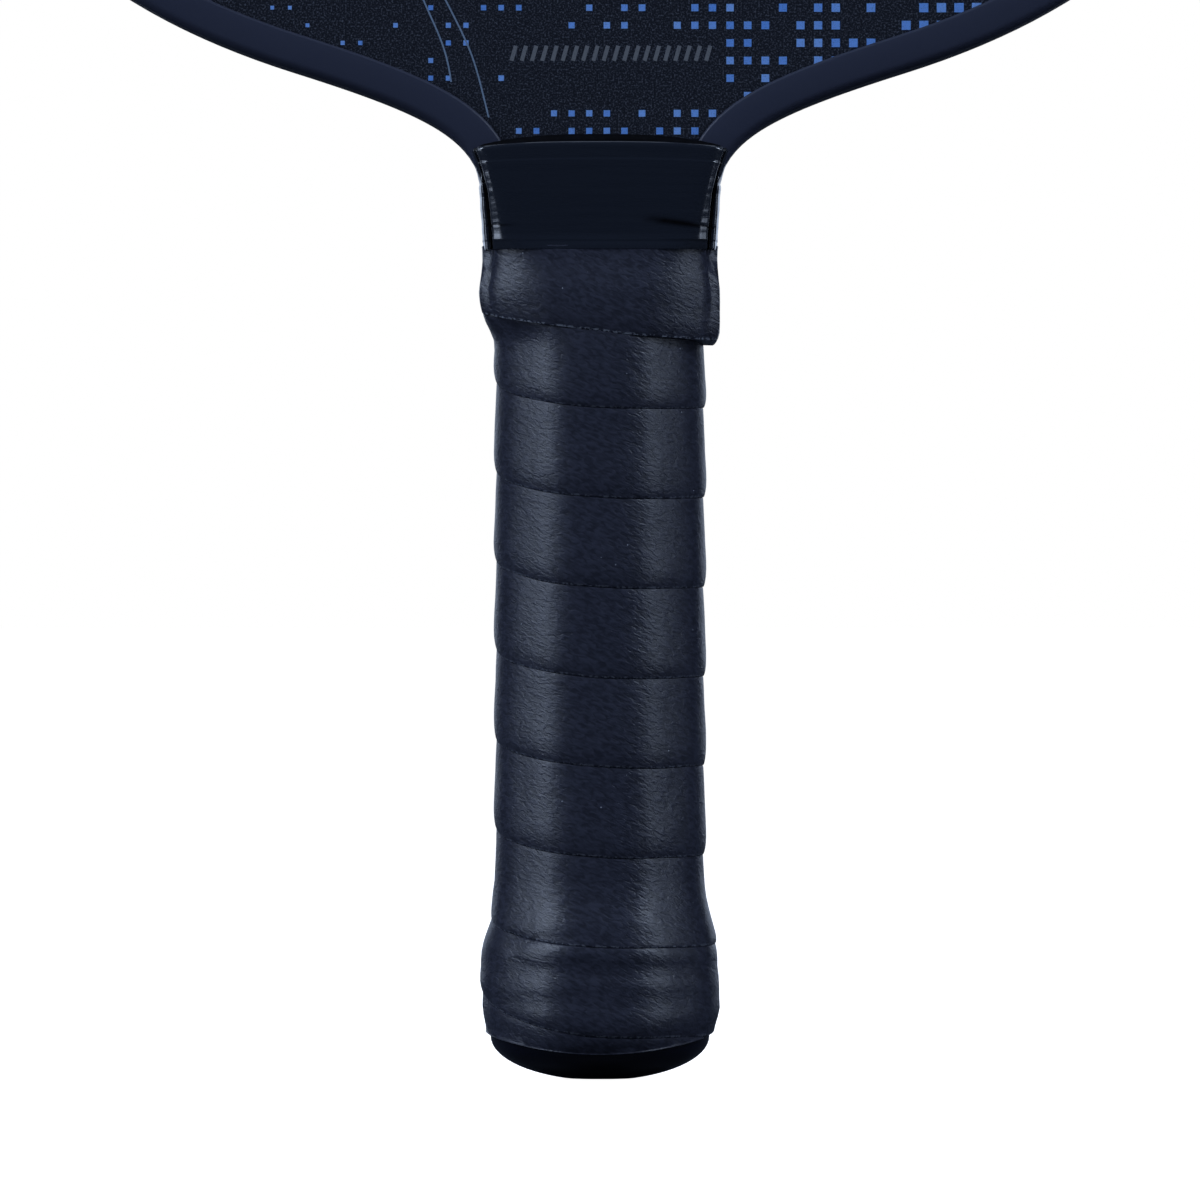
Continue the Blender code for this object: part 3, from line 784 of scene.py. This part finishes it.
BAR_COUNT = 20
BAR_STEP = 1.5 * MM
BAR_SIZE = (0.6 * MM, INK_DEPTH, 2.3 * MM)
BAR_SLANT = radians(16)
BARS_MIDDLE = (1.6 * MM, 150.4 * MM)
first_x = BARS_MIDDLE[0] - BAR_STEP * (BAR_COUNT - 1) / 2
for side, sign in FACES:
    values = {
        "Count": BAR_COUNT,
        "First": (-sign * first_x, sign * (SHEET_FACE + 0.3 * INK_DEPTH), BARS_MIDDLE[1]),
        "Step": (-sign * BAR_STEP, 0.0, 0.0),
        "Bar": BAR_SIZE,
        "Slant": (0.0, -sign * BAR_SLANT, 0.0),
        "Ink": bar_ink,
    }
    mesh = grown(f"{side}_bars", bars, values)
    finished(f"{side}_bar_row", mesh, bar_ink, "printed_face")

# %% [markdown]
# ## The handle's section
# Under the tape the handle is an eight-sided bar whose side flats are rounded into arcs. A polygon can be
# rounded by bevelling, but one formula gives the same shape for any size: each flat is a half plane, the
# arcs are a circle, and a high power of the distances to all of them blends the corners. It also grows
# the shape by a tape's thickness.

# %% Reach of a soft eight-sided section
SOFTNESS = 38
FRONT_EASE = 0.5 * MM


def reach_of_planes(angle, planes, circle=None):
    """How far a section reaches at an angle, from each flat's heading and distance, and a circle."""
    total = 0.0 if circle is None else circle ** float(-SOFTNESS)
    for heading, distance in planes:
        total = total + (np.maximum(np.cos(angle - heading), 0.0) / distance) ** SOFTNESS
    return total ** (-1.0 / SOFTNESS)


def handle_reach(angle, size, grow, arcs=True):
    """The handle's reach, from its half width, half depth, half flat width, and where its sides end.
    The sides are arcs down the handle, and flats where the shells spread over the guard's ends."""
    wide, deep, flat_x, side_y = size
    side_x = np.sqrt(wide**2 - side_y**2) if arcs else wide
    slant = np.arctan2(side_x - flat_x, deep - side_y)
    slanted = flat_x * np.cos(slant) + deep * np.sin(slant) + grow
    between = (slant + pi / 2) / 2
    eased = flat_x * np.cos(between) + deep * np.sin(between) + grow - FRONT_EASE
    planes = [(pi / 2, deep + grow), (-pi / 2, deep + grow)]
    for heading, distance in ((slant, slanted), (between, eased)):
        planes += [(turn, distance) for turn in (heading, -heading, pi - heading, heading - pi)]
    if arcs:
        return reach_of_planes(angle, planes, (wide + grow) * 1.006)
    return reach_of_planes(angle, planes + [(0.0, wide + grow), (pi, wide + grow)])


def at_height(stations, z):
    """The station's sizes at height z, in metres."""
    table = np.array(stations) * MM
    return [np.interp(z, table[:, 0], column) for column in table[:, 1:].T]


# %% [markdown]
# ## Butt cap
# The cap is a moulded cup with a domed end. Its rings run up the inside, over the rim, down the outside
# and round the dome. The dome is a quarter ellipse in height, so the cap has no visible corner there.

# %% Cap rings
CAP_SIZE = (16.0 * MM, 15.1 * MM, 6.6 * MM, 9.2 * MM)
CAP_INNER = 2.0 * MM
CAP_FLOOR = 3.4 * MM
DOME_HEIGHT = 6.2 * MM
DOME_FLAT = 0.3
DOME_STEPS = 16
CAP_AROUND = 144
# height, and how far the outside stands in from the widest
CAP_OUTSIDE = [
    (26.0, 1.55), (25.6, 1.45), (22.6, 0.95), (20.0, 0.25),
    (18.5, 0.05), (17.0, 0.0), (9.0, 0.0), (6.2, 0.0),
]


def cap_ring(z, grow, share=1.0):
    angles = np.arange(CAP_AROUND) * 2 * pi / CAP_AROUND
    radius = handle_reach(angles, CAP_SIZE, grow) * share
    return [(r * cos(a), r * sin(a), z) for a, r in zip(angles, radius)]


cap_rings = [cap_ring(CAP_FLOOR, -CAP_INNER, 0.2), cap_ring(CAP_FLOOR, -CAP_INNER, 0.82)]
cap_rings += [cap_ring(z * MM, -CAP_INNER) for z in (6.6, 15.0, 25.9)]
cap_rings += [cap_ring(z * MM, -inwards * MM) for z, inwards in CAP_OUTSIDE]
for step in range(1, DOME_STEPS + 1):
    share = sin(step / DOME_STEPS * pi / 2) * sqrt(1 - DOME_FLAT**2)
    drop = share / sqrt(1 - DOME_FLAT**2)
    cap_rings.append(cap_ring(DOME_HEIGHT * (1 - drop), 0.0, sqrt(1 - share**2)))
cap_rings.append(cap_ring(0.0, 0.0, DOME_FLAT * 0.5))
finished("fine_butt_cap", skin("cap", cap_rings), cap_gloss, "cap_plastic", "butt_cap")

# %% [markdown]
# ## Wound grip
# The grip is one cushioned strip, wound from the butt upwards. Each turn laps over the top of the one
# below it, so every seam is an exposed lower edge, a little proud of the turn under it. A twisted
# texture could only draw the seams. Here the strip's real section is carried along its winding path, with
# its upper edge tucked under the next turn.

# %% The strip's section
STRIP_WIDTH = 15.4
SEAM_PITCH = 13.13
# height within the strip and distance from what it lies on, in millimetres
STRIP_OUTSIDE = [
    (0.03, 1.04), (0.0, 1.16), (0.03, 1.24), (0.13, 1.31), (0.4, 1.41), (0.9, 1.51), (1.6, 1.60),
    (2.6, 1.64), (3.8, 1.62), (5.2, 1.56), (6.8, 1.48), (8.4, 1.41), (9.8, 1.35), (11.0, 1.30),
    (12.1, 1.25), (12.85, 1.21), (13.07, 1.17), (13.16, 0.90), (13.4, 0.70), (14.3, 0.55), (15.35, 0.40),
]
STRIP_INSIDE = [(15.4, 0.20), (13.3, 0.15), (9.0, 0.15), (3.6, 0.15), (2.9, 0.60), (1.6, 0.80), (0.3, 0.96)]
STRIP = np.array(STRIP_OUTSIDE + STRIP_INSIDE) * MM

# %% What the strip lies on
# height, half width, half depth, half flat width, and where the sides end, in millimetres
NARROW = [
    (0.0, 15.85, 15.0, 6.5, 9.1),
    (14.2, 15.95, 15.05, 6.6, 9.2),
    (18.6, 15.9, 15.0, 6.5, 9.1),
    (20.6, 15.6, 14.7, 6.4, 8.9),
    (23.0, 14.8, 13.9, 6.1, 8.5),
    (25.8, 14.2, 13.25, 5.8, 8.2),
    (29.0, 13.9, 12.95, 5.7, 8.0),
    (123.0, 13.9, 12.95, 5.7, 8.0),
]
SPREAD = [(107.0, 14.2, 12.8, 7.0, 8.3), (113.0, 14.5, 12.8, 8.4, 8.6), (122.5, 15.3, 12.7, 11.8, 9.6)]
SPREAD_FROM, SPREAD_TO = 107.5 * MM, 113.0 * MM
# height, and half width of the guard's ends, which round in below them
GUARD_ENDS = np.array([
    (107.2, 14.7), (107.5, 15.15), (108.0, 15.55), (108.7, 15.8),
    (109.6, 15.95), (113.0, 15.95), (117.0, 16.2), (122.5, 16.95),
]) * MM
# height, width and depth of the grooves that the cap's rings leave under the strip
GROOVES = [(16.3, 0.85, 0.6), (11.6, 0.9, 0.32), (20.9, 0.9, 0.3)]
GUARD_END_DEPTH = 7.0 * MM
TOP_TURN = (104.0 * MM, 107.6 * MM)


def smooth_share(value, low, high):
    share = np.clip((value - low) / (high - low), 0.0, 1.0)
    return share * share * (3 - 2 * share)


def ridge(value, width):
    return np.exp(-((value / width) ** 2))


def dome_share(z):
    """How much of its full width the cap keeps at a height, on the dome."""
    return np.sqrt(np.clip(1 - np.clip((DOME_HEIGHT - z) / DOME_HEIGHT, 0, 0.95) ** 2, 0, 1))


def lying_reach(angle, z, grow, on_top):
    """Reach of the strip's surface: on the plain handle, or on the spread shells and the guard's ends."""
    sunk = sum(depth * ridge(z / MM - height, width) for height, width, depth in GROOVES) * MM
    plain = handle_reach(angle, at_height(NARROW, z), 0.0) * dome_share(z) + grow
    plain = plain - sunk * (0.15 + 0.85 * abs(sin(angle)))
    spread = handle_reach(angle, at_height(SPREAD, z), grow, arcs=False)
    wide = np.interp(z, *GUARD_ENDS.T) + grow
    deep = GUARD_END_DEPTH + grow
    sides = [(0.0, wide), (pi, wide), (pi / 2, deep), (-pi / 2, deep)]
    return plain + (np.maximum(spread, reach_of_planes(angle, sides)) - plain) * on_top


# %% The height of the strip's lower edge along its winding
SEAM_AT_BUTT = 6.5
SWING = 1.2
STEEPEST = radians(151)
# turns wound, and how far the strip's lower edge slips down there, in millimetres
SLIP = [
    (0.02, 0.0), (0.12, -0.9), (0.25, -2.6), (0.45, -1.2), (0.8, 0.0),
    (7.25, 0.0), (7.5, 1.3), (7.75, 3.9), (8.0, 1.84), (8.25, 2.0), (10.0, 2.0),
]
FRONT = -pi / 2


def climb(angle):
    """Turns wound at an angle. The angle falls as the strip winds up."""
    return -(angle + SWING * sin(angle - STEEPEST)) / (2 * pi)


def lower_edge(angle):
    turns = (FRONT - angle) / (2 * pi)
    slip = np.interp(turns, *zip(*SLIP))
    wander = 0.16 * noise.noise(Vector((cos(angle) * 1.6, sin(angle) * 1.6, angle * 0.37)))
    return (SEAM_AT_BUTT + SEAM_PITCH * (climb(angle) - climb(FRONT)) - slip + wander) * MM


# %% Winding the strip
GRIP_TOP = 122.2 * MM
GRIP_BUTT = 6.9 * MM
BUTT_DIP = 3.0 * MM
PER_LAP = 144
NARROWEST_END = 2.6 * MM
# how much of its thickness the strip loses towards the tape that presses on its top
PRESSED, PRESSED_FROM, PRESSED_TO = 0.68, 115 * MM, 121.6 * MM
TOP_SEAM = (104 * MM, 107 * MM)

IS_OUTSIDE = np.arange(len(STRIP)) < len(STRIP_OUTSIDE)
# the lowest inside points stay on the turn below, so that the top turn's edge closes down onto it
REACHES_OUT = np.ones(len(STRIP))
REACHES_OUT[[0, -1, -2, -3]] = 0.0


def padding_lumps(x, y, z):
    """Small unevenness of the cushion under the strip's skin."""
    place = Vector((x, y, z)) / MM
    return (0.075 * noise.noise(place / 5.0) + 0.03 * noise.noise(place / 2.2)) * MM


grip_rings = []
heights_in_strip = STRIP[:, 0] / (SEAM_PITCH * MM)
for step in range(-2 * PER_LAP, 11 * PER_LAP):
    angle = -step * 2 * pi / PER_LAP
    low = lower_edge(angle)
    visible = lower_edge(angle - 2 * pi) - low
    high = low + STRIP_WIDTH / SEAM_PITCH * visible
    butt_edge = GRIP_BUTT - BUTT_DIP * abs(sin(angle)) ** 1.5
    bottom, top = max(low, butt_edge), min(high, GRIP_TOP)
    if top - bottom < NARROWEST_END:
        continue
    z = low + heights_in_strip * visible
    z = np.clip(z, bottom + STRIP[:, 0] * 0.02, top - 0.02 * (STRIP_WIDTH * MM - STRIP[:, 0]))
    thin = 0.55 + 0.45 * smooth_share(z, butt_edge, butt_edge + 4 * MM)
    thin = thin * (1.0 - PRESSED * smooth_share(z, PRESSED_FROM, PRESSED_TO))
    on_top = np.maximum(smooth_share(low, *TOP_TURN) * REACHES_OUT, smooth_share(z, SPREAD_FROM, SPREAD_TO))
    radius = lying_reach(angle, z, STRIP[:, 1] * thin, on_top)
    lumps = [padding_lumps(r * cos(angle), r * sin(angle), h) for r, h in zip(radius, z)]
    radius = radius + lumps * IS_OUTSIDE
    grip_rings.append([(r * cos(angle), r * sin(angle), h) for r, h in zip(radius, z)])
grip_mesh = skin("grip", grip_rings, sharp=50)
settles = grip_mesh.attributes.new("seam_dust", "FLOAT", "POINT")
near_edge = np.interp(STRIP[:, 0] / MM, [0.0, 0.15, 0.35], [1.0, 0.9, 0.0]) * IS_OUTSIDE
for index, vertex in enumerate(grip_mesh.vertices[: len(grip_rings) * len(STRIP)]):
    top_seam = smooth_share(vertex.co.z, *TOP_SEAM)
    settles.data[index].value = near_edge[index % len(STRIP)] * (0.35 + 0.6 * top_seam)
grip = finished("wound_grip", grip_mesh, grip_skin, "grip_leatherette", "grip_tape")

# %% [markdown]
# ## Handle shells and the taped neck
# The two half shells end in a raised head over the guard's ends, and stretched gloss tape binds the
# whole neck. Both follow the same stations, so the tape lies on the shells with even clearance. The
# tape's ring has a crease where it drops from the shell's side to the guard's end.

# %% Stations and filleted rings
SHELL_STATIONS = [
    (6.8, 13.75, 12.8, 5.6, 7.9),
    (107.0, 13.75, 12.8, 5.6, 7.9),
    (113.0, 14.3, 12.65, 8.2, 8.45),
    (121.0, 15.0, 12.55, 11.2, 9.2),
    (123.0, 15.4, 12.5, 13.4, 10.2),
    (126.0, 15.7, 12.45, 14.0, 10.5),
    (130.0, 16.1, 12.4, 14.9, 10.9),
    (134.0, 17.0, 12.3, 15.8, 11.0),
    (138.5, 18.4, 12.2, 17.2, 11.1),
]
SHELL_TOP = 138.45
TOP_ROUND = 1.0
ROUND_STEPS = 5
TOP_ARCH = 1.7


def filleted(corners, cuts, bend=4, run=2):
    """A closed outline with each corner rounded off by its own cut, and points on the straights between."""
    count = len(corners)
    corners = [np.array(corner) for corner in corners]

    def stop(index, other):
        way = corners[other % count] - corners[index]
        length = max(hypot(*way), 1e-9)
        return corners[index] + way * min(cuts[index], 0.45 * length) / length

    points = []
    for index, here in enumerate(corners):
        arrive, leave = stop(index, index - 1), stop(index, index + 1)
        for share in np.linspace(0, 1, bend + 1):
            points.append((1 - share) ** 2 * arrive + 2 * share * (1 - share) * here + share**2 * leave)
        following = stop((index + 1) % count, index)
        for share in np.linspace(0, 1, run + 2)[1:-1]:
            points.append(leave + (following - leave) * share)
    return points


def arched(x, z, arch):
    """The head's top edge sags towards its sides: the height at x for a ring drawn level at z."""
    share = smooth_share(z, 130 * MM, SHELL_TOP * MM)
    return z - arch * MM * share * (abs(x) / (18 * MM)) ** 2.6


# %% Shell rings
PART_LINE = 0.15 * MM
SLOT_HALF = 9.8 * MM
SHELL_BACK = 8.2 * MM
SKIRT_TOP = 105.5 * MM


def shell_ring(z, skirt, inset=0.0):
    """The front shell's section: a C round the tongue, or higher up a plate in front of the guard."""
    size = at_height(SHELL_STATIONS, z)
    edge = PART_LINE if skirt else SHELL_BACK
    spread = float(smooth_share(z, SPREAD_FROM, SPREAD_TO))
    side_x = sqrt(size[0] ** 2 - edge**2) * (1 - spread) + size[0] * spread
    turn = atan2(edge, side_x)
    angles = -np.linspace(turn, pi - turn, 73)
    round_sides = handle_reach(angles, size, -inset)
    flat_sides = handle_reach(angles, size, -inset, arcs=False)
    radius = round_sides + (flat_sides - round_sides) * spread
    outside = [(r * cos(a), min(r * sin(a), -edge)) for a, r in zip(angles, radius)]
    slot = [(-SLOT_HALF, -edge - 0.01 * MM), (-SLOT_HALF, -SHELL_BACK - 0.01 * MM)]
    slot = slot + [(-x, y) for x, y in reversed(slot)]
    return [(x, y, arched(x, z, TOP_ARCH)) for x, y in outside + slot]


shell_rings = [shell_ring(z * MM, True) for z in (6.8, 30, 60, 90, 103.4)]
shell_rings += [shell_ring(SKIRT_TOP, True), shell_ring(SKIRT_TOP, False)]
PLATE_HEIGHTS = [*range(107, 114), 117, 121, 122, 123, 124.5, *range(126, 138, 2), 137]
shell_rings += [shell_ring(z * MM, False) for z in PLATE_HEIGHTS]
for step in range(ROUND_STEPS + 1):
    turn = step / ROUND_STEPS * pi / 2
    z = SHELL_TOP - TOP_ROUND + TOP_ROUND * sin(turn)
    shell_rings.append(shell_ring(z * MM, False, TOP_ROUND * MM * (1 - cos(turn))))
shell_mesh = skin("shell", shell_rings, sharp=50)
for name, turn in (("front_handle_half", 0.0), ("rear_handle_half", pi)):
    mesh = shell_mesh.copy()
    for vertex in mesh.vertices:
        vertex.co = (vertex.co.x * cos(turn), vertex.co.y * cos(turn), vertex.co.z)
    finished("fine_" + name, mesh, moulded_shell, "moulded_shell", name)

# %% Corners of the taped neck
COLLAR_BOTTOM, COLLAR_TOP = 121.6 * MM, 137.4 * MM
COLLAR_ARCH = 0.9
TAPE_THICK = 0.3 * MM
TAPE_GAP = 0.1 * MM
# how far each corner of a quarter is rounded, in millimetres
QUARTER_CUTS = [3.2, 0.3, 0.06, 0.06, 0.25, 0.5, 1.3]
SHOULDER_SLOPE = 0.70
TUCK, TUCK_FROM, TUCK_TO = 1.3 * MM, 130.5 * MM, 133.5 * MM
CREASE_WIDTH = 0.28 * MM


def tape_height(x, z):
    """The tape's top edge sags with the shells' heads."""
    return arched(x, z, COLLAR_ARCH)


def collar_corners(z, grow):
    """Plateaus front and back, a crease at each side, and the guard's ends beyond them."""
    wide, deep, flat_x, _ = at_height(SHELL_STATIONS, z)
    edge = float(np.interp(tape_height(18.6 * MM, z), neck_z, neck_x))
    tucked = float(smooth_share(z, TUCK_FROM, TUCK_TO))
    edge = max(edge - TUCK * tucked, wide + 0.9 * MM)
    floor_y = GUARD_HALF + 0.15 * MM
    bulge = (0.7 - 1.15 * tucked) * MM
    quarter = [
        (flat_x, deep),
        (wide - 0.1 * MM, deep - SHOULDER_SLOPE * (wide - flat_x)),
        (wide + 0.02 * MM, floor_y),
        (wide + CREASE_WIDTH, floor_y),
        (wide + CREASE_WIDTH + 0.15 * MM, floor_y + bulge),
        (edge - 0.35 * MM, floor_y + bulge - 0.15 * MM),
        (edge, floor_y - 1.6 * MM),
    ]
    quarter = [(x + 0.7 * grow, y + 0.7 * grow) for x, y in quarter]
    right = [(x, -y) for x, y in quarter] + quarter[::-1]
    return right + [(-x, y) for x, y in reversed(right)]


def collar_ring(z, grow):
    cuts = np.array(QUARTER_CUTS + QUARTER_CUTS[::-1]) * MM
    return np.array(filleted(collar_corners(z, grow), [*cuts, *cuts], bend=5, run=12))


# %% Relief of the stretched tape
OVER_GRIP = 0.45
OVER_GRIP_HEIGHT = 2.4 * MM
LAP_LOW, LAP_HIGH = (122.7 * MM, 123.0 * MM), (134.7 * MM, 134.95 * MM)


def fold_depth(x, z):
    """Folds that start at the sides: a thick one and a thin one on the right, a short one on the left."""
    middle = (125.0 + 0.14 * (14.5 - x / MM) * float(x > 0)) * MM
    thick = 0.42 * ridge(z - middle, 0.5 * MM * (1 - 0.5 * smooth_share(x, 12 * MM, 15 * MM)))
    right = thick * smooth_share(x, 5.5 * MM, 9.5 * MM)
    left = 0.35 * ridge(z - 125.1 * MM, 0.2 * MM) * smooth_share(-x, 11.5 * MM, 15 * MM)
    low = 0.20 * ridge(z - 122.9 * MM, 0.16 * MM) * smooth_share(x, 8 * MM, 13 * MM)
    return float(right + left + low)


def over_grip(z):
    """How far the tape is lifted where it runs over the grip's top, in millimetres."""
    return OVER_GRIP * float(1 - smooth_share(z, COLLAR_BOTTOM, COLLAR_BOTTOM + OVER_GRIP_HEIGHT))


def tape_relief(x, y, z):
    """How far the tape stands out: its second lap, stretch ripples, and folds that start at the sides."""
    second_lap = 0.10 * smooth_share(z, *LAP_LOW) * (1 - smooth_share(z, *LAP_HIGH))
    around = atan2(y, x)
    ripple = 0.03 * noise.noise(Vector((cos(around) * 1.1, sin(around) * 1.1, z * 1100)))
    broad = 0.07 * noise.noise(Vector((x * 40, y * 40, z * 260)))
    return (second_lap + over_grip(z) + ripple + broad - 0.06 * fold_depth(x, z)) * MM


# %% Tape collar
COLLAR_ROWS = 124
collar_rings = []
painted_shade_values = []
heights = np.linspace(COLLAR_BOTTOM, COLLAR_TOP, COLLAR_ROWS)
for z in heights:
    ring = []
    for (x, y), (inner_x, inner_y) in zip(collar_ring(z, TAPE_GAP + TAPE_THICK), collar_ring(z, TAPE_GAP)):
        out_x, out_y = x - inner_x, y - inner_y
        length = max(hypot(out_x, out_y), 1e-9)
        fade = min((COLLAR_TOP - z) / (0.6 * MM), 1.0)
        lift = tape_relief(x, y, z) * fade - 0.28 * MM * (1 - fade) ** 2
        ring.append((x + out_x / length * lift, y + out_y / length * lift, tape_height(x, z)))
        # Painted shade: each point's share of the painted black, high in the crease at each side and in the
        # folds, where shade falls.
        crease_x = float(at_height(SHELL_STATIONS, z)[0]) + CREASE_WIDTH / 2 + 0.25 * MM
        painted_shade = ridge(abs(x) - crease_x, 0.21 * MM) * (abs(y) > GUARD_HALF - 1 * MM)
        painted_shade_values.append(min(float(painted_shade) + 2.4 * fold_depth(x, z), 1.0))
    collar_rings.append(ring)
for z in heights[::-10]:
    inside = collar_ring(z, TAPE_GAP + over_grip(z) * MM)
    collar_rings.append([(x, y, tape_height(x, z)) for x, y in inside])
collar_mesh = skin("collar", collar_rings, closed_path=True, sharp=60)
# Painted shade: the crease attribute holds how much painted black each point of the tape takes.
painted_shade_layer = collar_mesh.attributes.new("crease", "FLOAT", "POINT")
for item, value in zip(painted_shade_layer.data, painted_shade_values):
    item.value = value
finished("fine_finishing_tape", collar_mesh, tape_gloss, "finishing_vinyl", "finishing_tape")

# %% [markdown]
# ## Pieces inside
# The films, pads, glue and staples are the right shape already, so each keeps its CAD mesh and takes a
# finish. The face sheets keep theirs too, and take the gritty print.

# %% Finishes on the CAD pieces that stay
KEPT = {
    face_print: ["front_face_sheet", "back_face_sheet"],
    core_polymer: ["honeycomb_core"],
    cured_film: ["front_bond_film", "back_bond_film", "edge_guard_glue_strip"],
    foam_pad: ["front_handle_bond_pad", "rear_handle_bond_pad"],
    staple_steel: [f"butt_cap_staple_{side}" for side in ("front", "rear", "left", "right")],
}
for material, names in KEPT.items():
    for name in names:
        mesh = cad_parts[name].data
        mesh.materials.clear()
        mesh.materials.append(material)
print("finished CAD pieces:", sum(len(names) for names in KEPT.values()))

# %% Sizes, and the end
low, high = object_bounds()
print("visual box", [round(v * 1000, 1) for v in (*low, *high)])
